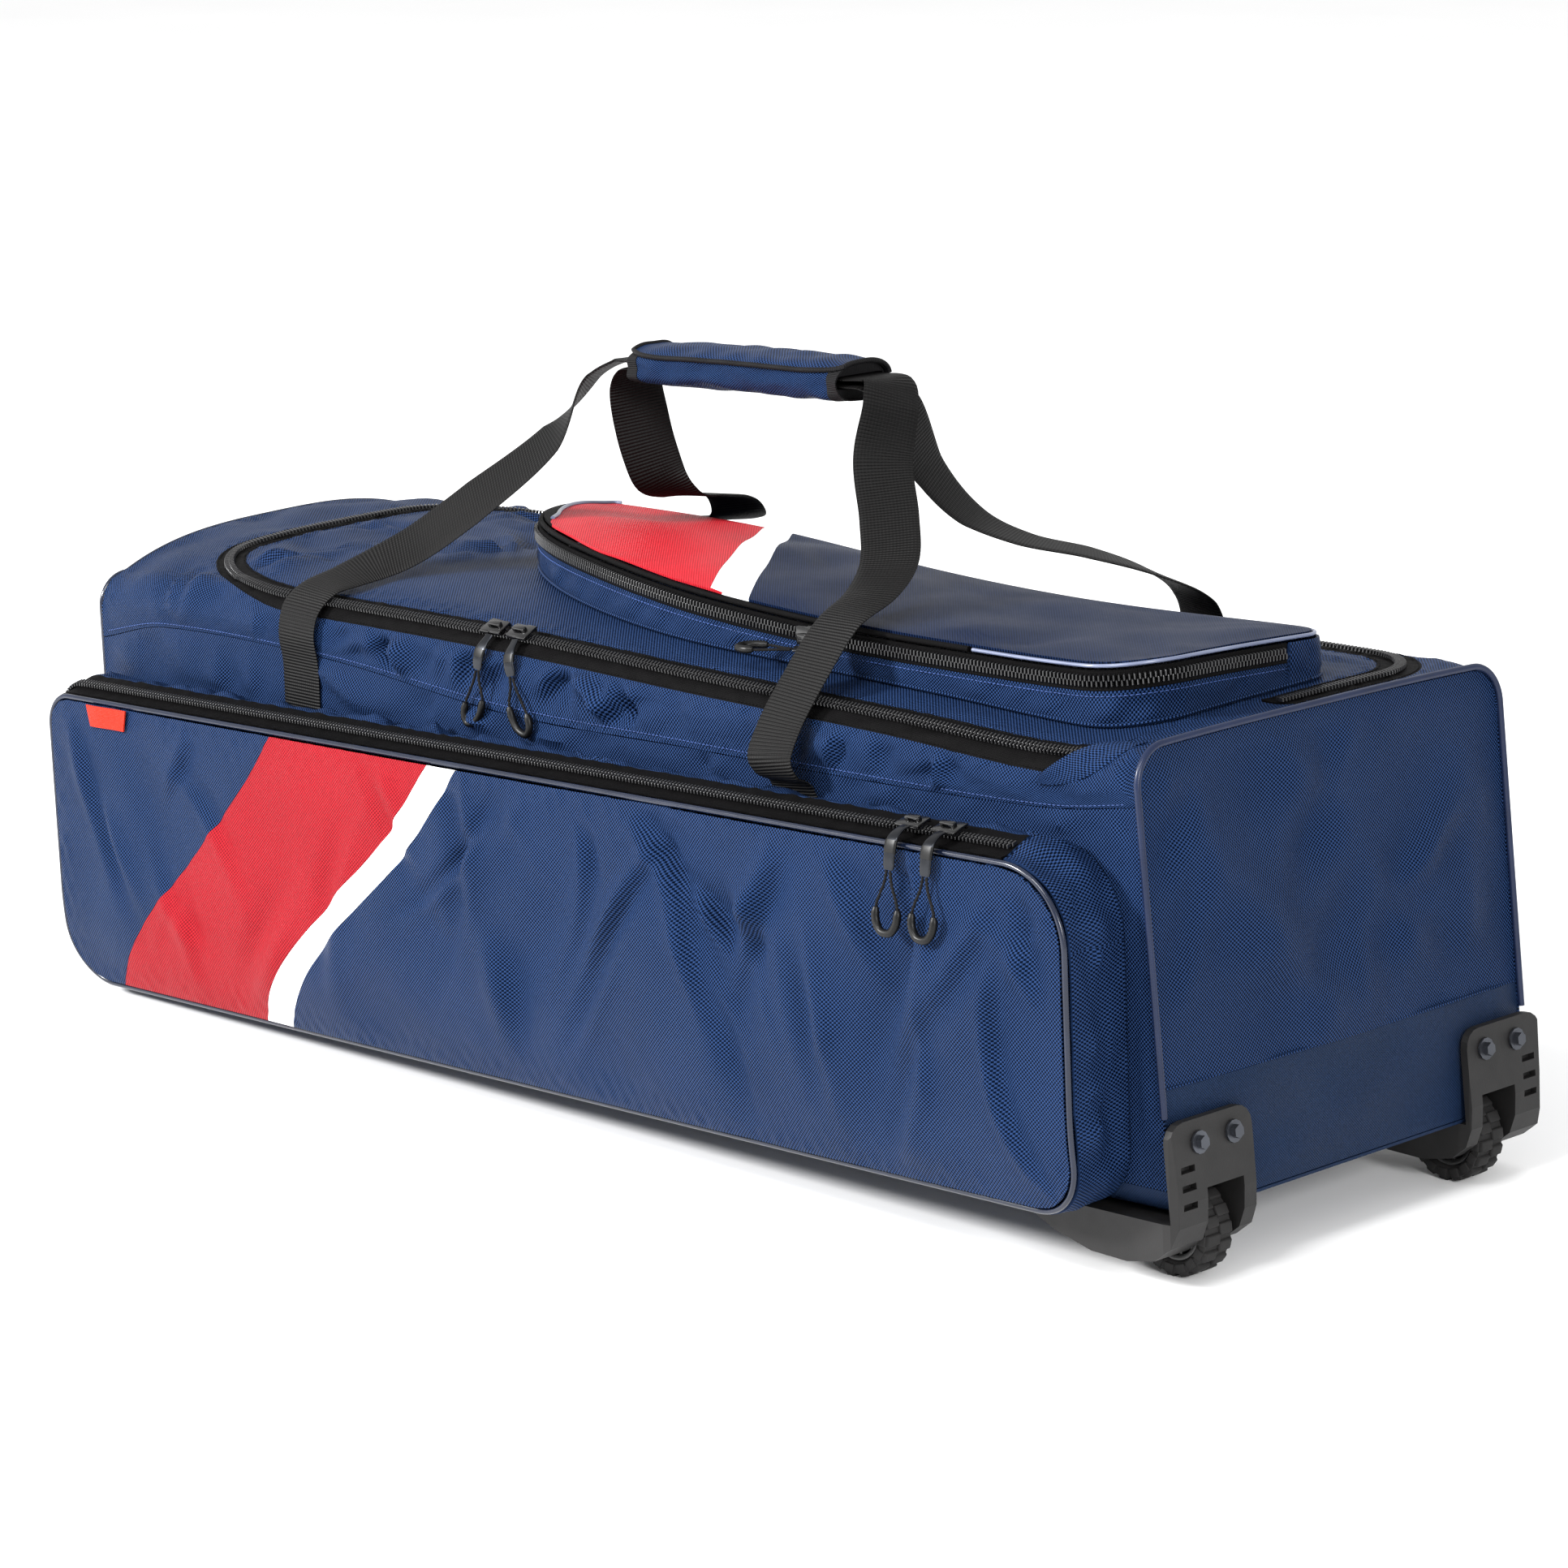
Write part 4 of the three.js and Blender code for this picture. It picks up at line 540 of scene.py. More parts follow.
class Shader:
    """A material's nodes."""

    def __init__(self, name):
        self.material = bpy.data.materials.new(name)
        self.material.use_nodes = True
        self.tree = self.material.node_tree
        self.surface = self.tree.nodes["Principled BSDF"]

    def put(self, socket, value):
        if isinstance(value, bpy.types.NodeSocket):
            self.tree.links.new(value, socket)
        else:
            socket.default_value = value

    def add(self, kind, inputs=None, **settings):
        node = self.tree.nodes.new("ShaderNode" + kind)
        for key, value in settings.items():
            setattr(node, key, value)
        for key, value in (inputs or {}).items():
            self.put(node.inputs[key], value)
        return node

    def math(self, operation, *inputs):
        return self.add("Math", dict(enumerate(inputs)), operation=operation).outputs[0]

    def scaled(self, value, by, plus):
        return self.math("MULTIPLY_ADD", value, by, plus)

    def clamped(self, *values):
        return self.add("Clamp", {0: self.math("ADD", *values)}).outputs[0]

    def mix(self, factor, first, second):
        return self.add("Mix", {0: factor, 6: first, 7: second}, data_type="RGBA").outputs[2]

    def noise(self, scale, detail=2.0):
        coords = self.add("TexCoord").outputs["Object"]
        return self.add("TexNoise", {"Vector": coords, "Scale": scale, "Detail": detail}).outputs["Fac"]

    def thread(self, pitch):
        """Sines along the cloth's two directions, with one period for each pitch in millimetres."""
        axes = self.add("SeparateXYZ", {0: self.add("UVMap", uv_map="UVMap").outputs[0]}).outputs
        return [self.math("SINE", self.math("MULTIPLY", axes[k], 2000 * math.pi / pitch)) for k in (0, 1)]

    def bump(self, height, strength, distance):
        inputs = {"Strength": strength, "Distance": distance, "Height": height}
        self.set(Normal=self.add("Bump", inputs).outputs[0])

    def set(self, **values):
        for key, value in values.items():
            self.put(self.surface.inputs[key.replace("_", " ")], value)
        return self.material


def woven(name, dark, light, tint, pitch=2.5, rough=0.45, contrast=1.5, bump=0.5, broad=0.3, shine=0.3):
    """Cloth of two yarns in a basket weave, with a broad unevenness of tone and a coloured sheen."""
    sh = Shader(name)
    weave = sh.math("MULTIPLY", *sh.thread(pitch))
    patch = sh.scaled(sh.noise(14.0), broad, -0.5 * broad)
    fine = sh.scaled(sh.noise(420.0, 1.0), 0.4, -0.2)
    tone = sh.clamped(sh.scaled(weave, 0.5 * contrast, 0.45), sh.math("ADD", patch, fine))
    sh.bump(weave, bump, 0.0004)
    return sh.set(Base_Color=sh.mix(tone, linear(dark), linear(light)), Specular_IOR_Level=shine,
                  Roughness=sh.scaled(sh.noise(30.0), 0.16, rough - 0.08), Specular_Tint=linear(tint))


def ribbed(name, dark, light, rib, rough, bump=0.6, shine=0.12):
    """Cloth or webbing with ribs across its length."""
    sh = Shader(name)
    u, v = sh.thread(rib)
    ribs = sh.scaled(u, 0.4, sh.scaled(v, 0.1, 0.5))
    tone = sh.clamped(ribs, sh.scaled(sh.noise(300.0), 0.5, -0.25))
    sh.bump(sh.scaled(v, 0.25, u), bump, 0.0003)
    colour = sh.mix(tone, linear(dark), linear(light))
    return sh.set(Base_Color=colour, Roughness=rough, Specular_IOR_Level=shine)


def moulded(name, dark, light, rough, bump=0.12, metallic=0.0, coat=0.0, shine=0.5):
    """Plastic, rubber or metal with a fine grain and slight unevenness."""
    sh = Shader(name)
    sh.bump(sh.noise(900.0), bump, 0.0002)
    return sh.set(Base_Color=sh.mix(sh.noise(40.0), linear(dark), linear(light)), Metallic=metallic,
                  Roughness=sh.scaled(sh.noise(120.0), 0.14, rough - 0.07), Coat_Weight=coat,
                  Coat_Roughness=0.15, Specular_IOR_Level=shine)


NAVY = woven("navy_cloth", "010205", "213457", "5a98ff", contrast=4.5, bump=0.9, broad=0.4, shine=0.1)
# The top pocket's navy is the navy cloth on a finer weave, made darker as painted shade for the upward face.
NAVY_TOP_PAINTED_SHADE = woven("navy_top_cloth_painted_shade", "020307", "16233f", "5a98ff", pitch=2.2, contrast=2.5, bump=0.6, shine=0.1)
KICK = woven("navy_base_cloth", "0a111c", "1b2a45", "6c94cc", pitch=1.9, contrast=1.0, bump=0.3, shine=0.1)
RED = woven("red_cloth", "5a0b12", "941821", "ff7078", contrast=1.4, bump=0.6, shine=0.12)
# The top pocket's red is the red cloth on a finer weave, made lighter as painted light for the glare on the
# upward face.
RED_TOP_PAINTED_LIGHT = woven("red_top_cloth_painted_light", "7c1219", "c22a34", "ff8088", pitch=2.2, contrast=1.2, bump=0.5, shine=0.12)
WHITE = woven("white_cloth", "c8cacc", "f0f0f0", "ffffff", rough=0.55, bump=0.2, contrast=0.6)
TAPE = ribbed("zip_tape", "020202", "090809", 1.0, 0.6, shine=0.05)
WEBBING = ribbed("webbing", "010101", "0e0d0d", 2.2, 0.55, bump=0.8)
ORANGE = ribbed("tab_tape", "8c180b", "b42d18", 0.8, 0.5)
# Black binding cloth; it also paints shade inside the handle sleeve.
BINDING_AND_SLEEVE_SHADE = ribbed("binding", "040405", "0e0d0f", 1.3, 0.6)
THREAD = moulded("navy_thread", "142a56", "21417c", 0.6)
PIPING = moulded("navy_piping", "060b18", "0e172b", 0.25, coat=0.2, shine=0.3, bump=0.03)
EDGE_PIPING = moulded("edge_piping", "0a1226", "16213c", 0.35, coat=0.08, shine=0.2, bump=0.03)
GREY_PIPING = moulded("grey_piping", "404862", "646c82", 0.3, coat=0.4, bump=0.03)
TEETH = moulded("zip_plastic", "0a0a0b", "1c1c1e", 0.25, coat=0.45, bump=0.05, shine=0.4)
SLIDER = moulded("slider_plastic", "040404", "0c0c0d", 0.22, coat=0.3, bump=0.03, shine=0.3)
GUNMETAL = moulded("gunmetal", "1b1c1f", "303236", 0.3, metallic=0.9, bump=0.05)
CORD = ribbed("pull_cord", "060606", "1a191a", 0.9, 0.6)
GRIP = moulded("grip_rubber", "030303", "090909", 0.4, shine=0.2)
HOUSING = moulded("housing_plastic", "101010", "1d1c1c", 0.5, bump=0.3, shine=0.25)
RUBBER = moulded("tyre_rubber", "121212", "222121", 0.7, bump=0.3, shine=0.2)
HUB = moulded("hub_plastic", "080808", "131313", 0.4)
STEEL = moulded("steel", "34363a", "565960", 0.35, metallic=0.9, bump=0.08)


# Camera at the photograph's angle
AZIMUTH, ELEVATION, ROLL = (math.radians(d) for d in (46.78, 11.65, -2.45))
FOCAL, OFF_X, OFF_Y, DISTANCE, SENSOR = 6152.49 / 1932, -1.11, -169.78, 3362.71, 36
back = np.array([
    math.sin(AZIMUTH) * math.cos(ELEVATION),
    -math.cos(AZIMUTH) * math.cos(ELEVATION),
    math.sin(ELEVATION),
])
right = np.array([math.cos(AZIMUTH), math.sin(AZIMUTH), 0])
up = np.cross(back, right)
right, up = (right * math.cos(ROLL) + up * math.sin(ROLL), up * math.cos(ROLL) - right * math.sin(ROLL))
camera = new_object("camera", bpy.data.cameras.new("camera"))
camera.data.sensor_width = SENSOR
camera.data.sensor_fit = "HORIZONTAL"
camera.data.lens = FOCAL * SENSOR
camera.data.clip_end = 100
axes = np.stack([TURN @ v for v in (right, up, back)], 1)
place = to_row(-OFF_X * right - OFF_Y * up + DISTANCE * back)
camera.matrix_world = Matrix([[*axes[i], place[i]] for i in range(3)] + [[0, 0, 0, 1]])
bpy.context.scene.camera = camera


# Stitches, zip chains, sliders, tabs and pulls

STITCH = block((2.4, 0.6, 0.6), taper=0.6)
TOOTH = block((1.25, 4.6, 2.6), 0.35, 1, taper=0.8)
PULL = [
    # side, down
    (-1.4, 0.4), (-3, 8), (-7.5, 18), (-9, 23), (-8.5, 31), (-4, 37),
    (4, 37), (8.5, 31), (9, 23), (7.5, 18), (3, 8), (1.4, 0.4),
]
CORD_R = 0.0009


def stitches(name, paths, material=THREAD, pitch=3.6):
    """Rows of stitches along paths that lie on the cloth, each with the directions away from it."""
    soup = Soup()
    for path, away in paths:
        away = np.broadcast_to(np.asarray(away, float), path.shape)
        place, tangent, across, up = resample(path, away, pitch)
        soup.copies(STITCH, place + up * 0.15, tangent, across, up)
    soup.make(name, material, slot="navy_cloth", sharp=80)


def zip_chain(name, path, away, pitch=1.5):
    """Two rows of moulded teeth that mesh along a path."""
    place, tangent, across, up = resample(path, away, pitch)
    side = np.where(np.arange(len(place)) % 2, 1.0, -1.0)[:, None]
    soup = Soup()
    soup.copies(TOOTH, place + up * 1.6 + across * side * 1.6, tangent, across, up)
    soup.make(name, TEETH, sharp=30)


def zip_slider(name, place, along, across, away):
    """A slider over its chain: two plates with a waist, and a bridge that carries the tab."""
    soup = Soup()
    axes = [np.asarray(v, float)[None] * k for v, k in ((along, 1.45), (across, 1.15), (away, 1.15))]
    for size, bevel, at in (
        ((13, 10.5, 1.6), 0.6, (0, 0, 2.2)), ((6, 12, 1.5), 0.6, (3.4, 0, 2.1)),
        ((12.5, 1.3, 2.4), 0.5, (0, 4.7, 1.2)), ((12.5, 1.3, 2.4), 0.5, (0, -4.7, 1.2)),
        ((7.5, 3.4, 1.5), 0.6, (-0.5, 0, 4.6)), ((1.8, 3.4, 2.6), 0.5, (2.6, 0, 3.7)),
        ((1.6, 3.0, 2.4), 0.5, (-3.6, 0, 3.7)),
    ):
        soup.copies(block(size, bevel, at=at), np.asarray(place, float)[None], *axes)
    soup.make(name, SLIDER, sharp=35)


def pull_tab(name, path, away):
    """A short flat metal tab with a black band, along a path."""
    path, _ = spline(path, 1.0)
    a, b = frames_along(path, away)
    t = np.linspace(0, 1, len(path))
    half = 3.2 + 1.3 * smooth(t, 0.1, 0.5) - 0.8 * smooth(t, 0.9, 1)
    c, s = circle(1, 14).T
    oval = np.stack([np.sign(c) * np.abs(c) ** 0.5, np.sign(s) * np.abs(s) ** 0.6], 1)
    points, faces, _ = swept(path, a, b, oval[None] * grid(half, 0.85)[:, None])
    finish_mesh(name, points, faces, GUNMETAL, sharp=50)
    pick = (t > 0.42) & (t < 0.68)
    points, faces, _ = swept(path[pick], a[pick], b[pick], oval * np.array([4.7, 1.25]))
    finish_mesh(name + "_band", points, faces, GRIP, sharp=50)


def pull(name, origin, side, down):
    """A loop of cord that hangs from a tab and ends in a moulded grip."""
    side, down = unit(np.asarray(side, float)), unit(np.asarray(down, float))
    path, places = spline(np.array([origin + side * s + down * d for s, d in PULL]), 1.5)
    held = path[(places > 2.7) & (places < 8.3)]
    a, b = frames_along(held, np.cross(side, down))
    t = np.linspace(0, 1, len(held))
    radius = 2.55 - 0.9 * (1 - smooth(t, 0, 0.07)) - 0.9 * smooth(t, 0.93, 1)
    points, faces, _ = swept(held, a, b, circle(1, 14)[None] * radius[:, None, None])
    grip = finish_mesh(name + "_grip", points, faces, GRIP, sharp=60)
    curve = bpy.data.curves.new(name + "_cord", "CURVE")
    curve.dimensions = "3D"
    line = to_row(path)
    strand = curve.splines.new("POLY")
    strand.points.add(len(line) - 1)
    strand.points.foreach_set("co", np.concatenate([line, np.ones((len(line), 1))], 1).ravel())
    curve.bevel_depth = CORD_R
    curve.bevel_resolution = 3
    curve.use_fill_caps = True
    curve.materials.append(CORD)
    obj = new_object(name + "_cord", curve)
    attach(obj, "bag")
    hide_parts(name)


for i, (x, end) in enumerate(zip(MAIN_SLIDERS, ("far", "near"))):
    s = CHAIN_RECT[2]
    away = top_normal(float(x), float(s))
    along = unit(X - away * away[0]) * (1 if i else -1)
    zip_slider(f"main_zip_{end}_slider", over_top(x, s, SLIDER_LIFT), along, np.cross(away, along), away)
    lean = 0.7 if i else -0.7
    places = ((41.9, 5), (33, 5.5), (26, 5), (20, 4))
    rows = [over_top(x + k * lean * 2, s, h) for k, (s, h) in enumerate(places)]
    pull_tab(f"main_zip_{end}_tab", rows, top_normal(float(x), 24.0))
    pull(f"main_zip_{end}_pull", rows[-1] + [0, 0, -0.5], [1, 0, -lean * 0.35], [lean * 0.35, 0, -1])
for i, (x, end) in enumerate(zip(POCKET_SLIDERS, ("far", "near"))):
    along = X * (1 if i else -1)
    y = POCKET_Y + PIPING_ROOM + POCKET_TAPE / 2
    up = unit(Z - 0.3 * Y)
    place = np.array([x, y, POCKET[3] + zip_rise(Y[:2], y)]) + up * SLIDER_LIFT
    zip_slider(f"pocket_zip_{end}_slider", place, along, np.cross(up, along), up)
    places = ((8, 7.6), (3, 6.6), (-4, 2), (-7, -8), (-8, -16))
    rows = [[x, POCKET_Y + b, POCKET[3] + u] for b, u in places]
    pull_tab(f"pocket_zip_{end}_tab", rows, [0, -1, 0.6])
    pull(f"pocket_zip_{end}_pull", np.array(rows[-1]) + [0, -0.2, 0], X, [0, -0.12, -1])


# Body panels

def wall_panel(side, name):
    station = np.linspace(FAR_X, WHEEL_END_X, 330)[:, None]
    v = np.linspace(0, 1, 48)[None, :]
    seam = read("seam", station)
    foot = BASE_R + 0.3
    z = foot + (seam - 0.3 - foot) * v
    x = lean_x(station, z)
    free = np.ones_like(z) if side > 0 else np.maximum(smooth(z, 222, 234), smooth(x, 476, 484))
    ends = smooth(station, -524, -505) * smooth(-station, -500, -484)
    edge = smooth(v, 0, 0.06) * smooth(1 - v, 0, 0.05) * ends
    depth = 3.7 - 1.1 * side
    soft = 1.5 * waves(11 + side, 85, x, 0.7 * z)
    soft = soft + crumple(21 + side, x, z, (-500, 480, 150, 250), 72, 34, 9, depth, (-50, 20, 55, 85))
    pucker = 0.5 * waves(31 + side, 9, x, 0.3 * z) * np.exp(-(seam - z) / 9)
    y = side * (read("wall", station) + free * edge * (soft + pucker))
    sheet(name, grid(x, y, z), NAVY, Y * side, grid(x, z))


wall_panel(-1, "front_wall")
wall_panel(1, "back_wall")


def base_panel():
    """The base with its rounded sides, stepped up and cut out at the wheels."""
    after = np.linspace(438.1, WHEEL_END_X, 8)
    station = np.concatenate([np.linspace(FAR_X, BASE_STEP_X, 90), [BASE_STEP_END], after])[:, None]
    turn = np.radians(np.linspace(0, 90, 7))
    half = read("wall", station)
    lift = np.where(station >= BASE_STEP_END, BASE_LIFT, 0)
    corner_y = half - BASE_R * (1 - np.cos(turn))
    corner_z = BASE_R - (BASE_R - lift) * np.sin(turn)
    flat = np.concatenate([[-146.1, -108.1], np.linspace(-100, 100, 12), [108.1, 146.1]])
    inner_y = flat[None] * (half - BASE_R) / 147
    y = np.concatenate([-corner_y, inner_y, corner_y[:, ::-1]], 1)
    z = np.concatenate([corner_z, np.broadcast_to(lift, inner_y.shape), corner_z[:, ::-1]], 1)
    points = grid(lean_x(station, z), y, z)
    mid_x, mid_y, _ = np.moveaxis((points[:-1, :-1] + points[1:, 1:]) / 2, -1, 0)
    keep = ~((mid_x > 437) & (np.abs(np.abs(mid_y) - WHEEL_Y) < 18.8))
    sheet("base_panel", points, KICK, -Z, keep=keep)


base_panel()


def end_rows(station, low, high, lift):
    """Heights of the rows of an end panel, and how far its corners cut in at each."""
    inset = 2.4
    top = min(read("front", station), read("back", station)) - inset
    foot, shoulder = BASE_R - inset, SHOULDER_R - inset
    a = np.radians(np.linspace(0, 90, 10))
    rows = []
    if low:
        rows.append(np.stack([BASE_R - (foot - lift) * np.cos(a), foot * (1 - np.sin(a))], 1))
    z0 = BASE_R if low else KICK_TOP + 0.4
    z1 = top - shoulder if high else KICK_TOP
    z = np.linspace(z0, z1, max(4, int((z1 - z0) / 3)))[1 if low else 0:-1 if high else None]
    rows.append(np.stack([z, 0 * z], 1))
    if high:
        rows.append(np.stack([top - shoulder * (1 - np.sin(a)), shoulder * (1 - np.cos(a))], 1))
    return np.concatenate(rows), top


def end_panel(name, station, out, crown, low, high, lift=0, material=NAVY, folds=()):
    rows, top = end_rows(float(station), low, high, lift)
    z, trim = rows[:, :1], rows[:, 1:]
    half = read("wall", station) - 1.2
    y = np.linspace(-1, 1, 100)[None, :] * (half - trim)
    across = 1 - (y / half) ** 2
    raised = np.maximum(0, z / top - 0.5) * 2
    tilt = read("back", station) - read("front", station)
    slope = tilt * np.clip((y + half) / (2 * half), 0, 1) * 0.9
    z = z + raised**2 * (read("rise", station) * across + slope)
    bulge = crown * across * np.sin(np.pi * z / top)
    edge = np.minimum(1, across * 4) * smooth(z, 4, 30) * smooth(top - z, 0, 22)
    soft = placed_folds(y, z, folds) + 0.9 * waves(41 + out, 90, y, z)
    if material is NAVY:
        width, depth = (14, 5.0) if out < 0 else (19, 3.2)
        soft = soft + crumple(44 + out, y, z, (-150, 150, 90, 270), 24, 52, width, depth, (-40, 35, 70))
    x = lean_x(station, z) + out * (bulge - 0.4 + edge * soft)
    points = grid(x, y, z)
    keep = None
    if not high:
        _, mid_y, mid_z = np.moveaxis((points[:-1, :-1] + points[1:, 1:]) / 2, -1, 0)
        keep = ~((mid_z < 24) & (np.abs(np.abs(mid_y) - WHEEL_Y) < 20))
    sheet(name, points, material, X * out, grid(y, z), keep=keep)


WHEEL_END_CROWN = 6
end_panel("far_end_panel", FAR_X, -1, 7, True, True)
end_panel("wheel_end_panel", WHEEL_END_X, 1, WHEEL_END_CROWN, False, True, folds=WHEEL_END_FOLDS)
end_panel("wheel_end_kick_panel", WHEEL_END_X, 1, WHEEL_END_CROWN, True, False, BASE_LIFT, KICK)

seam_y, seam_z = np.linspace(-162, 162, 120), KICK_TOP + 0.2
bulge = WHEEL_END_CROWN * (1 - (seam_y / 163.8) ** 2) * np.sin(np.pi * seam_z / 276.6)
tube("kick_seam", grid(lean_x(WHEEL_END_X, seam_z) + bulge - 0.3, seam_y, seam_z), X, 1.0, NAVY)


def end_piping(name, station, out, foot, material):
    z = np.linspace(foot, float(read("seam", station)), 60)[:-1]
    side = grid(lean_x(station, z), -read("wall", station), z)
    path = np.concatenate([side, top_point(station, np.linspace(0, ACROSS, 150)), side[::-1] * [1, -1, 1]])
    flat_y, flat_z = path[:, 1], path[:, 2] - END_HEIGHT / 2
    away = grid(0, np.clip(flat_y / 150, -1, 1) ** 7, np.clip(flat_z / 150, 0, 1) ** 7)
    path = path + unit(away) * (0.4 if out > 0 else -1.6) + X * out * 1.2
    tube(name, path, X, PIPING_R, material)


end_piping("far_end_piping", FAR_X, -1, BASE_R + 4, PIPING)
end_piping("wheel_end_piping", WHEEL_END_X, 1, 64, EDGE_PIPING)


# The top: lid, zip tape, hinge and border, in rings round the zip

LID_STEP = 3.5
lid = []
for inset in (0.4, 1.5, 3, 5, 8, 12, 17, 24, 32, 42, 54, 68, 84, 102, 120, 132):
    loop, _ = rounded_loop(LID_IN, LID_R, LID_STEP, inset)
    x, y = loop.T
    soft = 1.2 * waves(51, 90, x, y)
    soft = soft + crumple(52, x, y, (-420, -150, -140, 120), 26, 50, 12, 5.2, (-30, 40, 70))
    soft = soft + crumple(54, x, y, (-150, 440, -140, 120), 20, 40, 9, 2.0, (-30, 30, 70))
    covered = smooth(x, -262, -240) * smooth(-x, -452, -430) * smooth(y, -136, -120) * smooth(-y, -72, -58)
    pucker = 0.5 * waves(53, 10, x, y) * math.exp(-inset / 9) * (inset > 1)
    lid.append(over_top(*ring_station(loop), soft * (1 - covered) * min(1, inset / 20) + pucker))
lid = np.stack(lid, 1)
sheet("lid_panel", lid, NAVY, Z, lid[..., :2], wrap=True)

inner, _ = rounded_loop(LID_IN, LID_R, LID_STEP)
outer_r = [np.asarray(r, float) + LID_TAPE for r in LID_R]
outer, outer_normal = rounded_loop(LID_OUT, outer_r, LID_STEP, like=(LID_IN, LID_R))
in_station, in_s = ring_station(inner)
out_station, out_s = ring_station(outer)
t = np.linspace(0, 1, 9)
tape_station = blend(in_station[:, None], out_station[:, None], t)
tape_s = blend(in_s[:, None], out_s[:, None], t)
is_hinge = (inner[:, 0] + outer[:, 0] > 2 * HINGE_X) & (inner[:, 1] + outer[:, 1] < 2 * HINGE_Y)
tape_run, hinge_run = run_of(~is_hinge), run_of(is_hinge)
sag = -0.8 * np.sin(np.pi * t)[None, :] + 0.25 * waves(61, 12, tape_station, tape_s)
tape = over_top(tape_station, tape_s, sag)
sheet("main_zip_tape", tape[tape_run], TAPE, Z, thick=1.4)
sheet("lid_hinge", tape[hinge_run], NAVY, Z)

# The near end of the main zip: a pointed end of tape under a slanted edge of cloth
corner = int(np.argmin(np.abs(inner[:, 0] - 430) + 1000 * (inner[:, 1] > -100)))
in_edge, out_edge = in_s[corner], out_s[corner]
u, t = np.linspace(0, 1, 22)[:, None], np.linspace(0, 1, 9)[None, :]
tip_s = in_edge + (out_edge - in_edge) * (1 - u) * t
sheet("zip_end_tape", over_top(436 + 34 * u + 0 * t, tip_s, 0.9), TAPE, Z, thick=0.8)
near = np.stack([422 + 52 * u, out_edge - 2 + (in_edge - out_edge + 3) * u], -1)
p, q, r = (np.array(v) for v in ((420, out_edge - 7), (486, out_edge - 6), (484, in_edge + 6)))
u, t = u[..., None], t[..., None]
cover_station, cover_s = np.moveaxis(blend(near, p * (1 - u) ** 2 + 2 * q * (u * (1 - u)) + r * u**2, t), -1, 0)
u, t = u[..., 0], t[..., 0]
rise = 0.2 + 0.4 * (1 - t) + 4.6 * np.sin(np.pi * u) ** 0.6 * (1 - t) ** 0.8
rise = rise + 0.5 * waves(62, 14, cover_station, cover_s) * t * (1 - t) * 4
sheet("zip_end_cover", over_top(cover_station, cover_s, rise), NAVY, Z, thick=0.8)

# The border runs straight out from the tape to the bag's edges
EDGE_S = 0.3
reach = np.full(len(outer), 1e9)
for k, place, lo, hi in ((0, out_station, FAR_X, WHEEL_END_X), (1, out_s, EDGE_S, ACROSS - EDGE_S)):
    way = np.where(np.abs(outer_normal[:, k]) < 1e-6, 1e-6, outer_normal[:, k])
    reach = np.minimum(reach, (np.where(way > 0, hi, lo) - place) / way)
rim_place = np.stack([out_station, out_s], 1) + outer_normal * reach[:, None]
for corner in [(station, s) for station in (FAR_X, WHEEL_END_X) for s in (EDGE_S, ACROSS - EDGE_S)]:
    rim_place[np.argmin(np.linalg.norm(rim_place - corner, axis=1))] = corner
t = np.concatenate([[0, 0.02, 0.06], np.linspace(0.12, 0.94, 16), [0.98, 1]])
border_station = blend(out_station[:, None], rim_place[:, :1], t)
border_s = blend(out_s[:, None], rim_place[:, 1:], t)
away = reach[:, None] * np.minimum(t, 1 - t)
soft = 1.2 * waves(71, 75, border_station, border_s)
for seed, lo, hi, depth in ((72, 0, 60, 5.0), (74, 340, 400, 2.4)):
    soft = soft + crumple(seed, border_station, border_s, (-500, 480, lo, hi), 66, 32, 9, depth, (-60, 40, 75))
pucker = 0.7 * waves(73, 11, border_station, border_s) * np.exp(-away / 6) * smooth(away, 0, 2)
border = over_top(border_station, border_s, soft * smooth(away, 0, 14) + pucker)
sheet("top_border", border, NAVY, Z, grid(border_station, border_s), wrap=True)

station = np.linspace(FAR_X + 6, WHEEL_END_X - 6, 300)
seams = [(over_top(station, np.full(300, s), 0.4), [0, side, 0.2]) for s, side in ((4.0, -1), (396.0, 1))]
stitches("top_stitches", seams)
rows = []
for t in (0.06, 0.94):
    at, s = blend(in_station, out_station, t)[tape_run], blend(in_s, out_s, t)[tape_run]
    rows.append((over_top(at, s, 0.1), top_normal(at, s)))
stitches("tape_stitches", rows, TAPE, 3.2)

chain, _ = rounded_loop(CHAIN_RECT, CHAIN_R, 3)
chain = chain[run_of(~((chain[:, 0] > CHAIN_RECT[1] - 16) & (chain[:, 1] < CHAIN_END)))].T
zip_chain("main_zip_chain", over_top(*chain, CHAIN_LIFT - CHAIN_SINK), top_normal(*chain))


# Both pockets

def face_rows(rect, radii, count):
    """Rows of a face, closer together at its edges: heights, shares of its height, and both ends."""
    t = np.linspace(0, 1, count)
    lo, hi = rect[2] + FACE_INSET, rect[3] - FACE_INSET
    rows = lo + (hi - lo) * (0.75 * t + 0.25 * (1 - np.cos(np.pi * t)) / 2)
    low, high = (rim_x(rect, radii, rows, FACE_INSET, side) for side in (-1, 1))
    return rows, (rows - rect[2]) / (rect[3] - rect[2]), low, high


def strip(name, lows, highs, rows, surface, spacing, material, outward):
    """One strip of a face: each row runs from its low to its high end."""
    t = np.linspace(0, 1, max(4, int(np.max(highs - lows) / spacing)))[None, :]
    first = lows[:, None] + (highs - lows)[:, None] * t
    second = np.broadcast_to(rows[:, None], first.shape)
    sheet(name, surface(first, second), material, outward, grid(first, second))


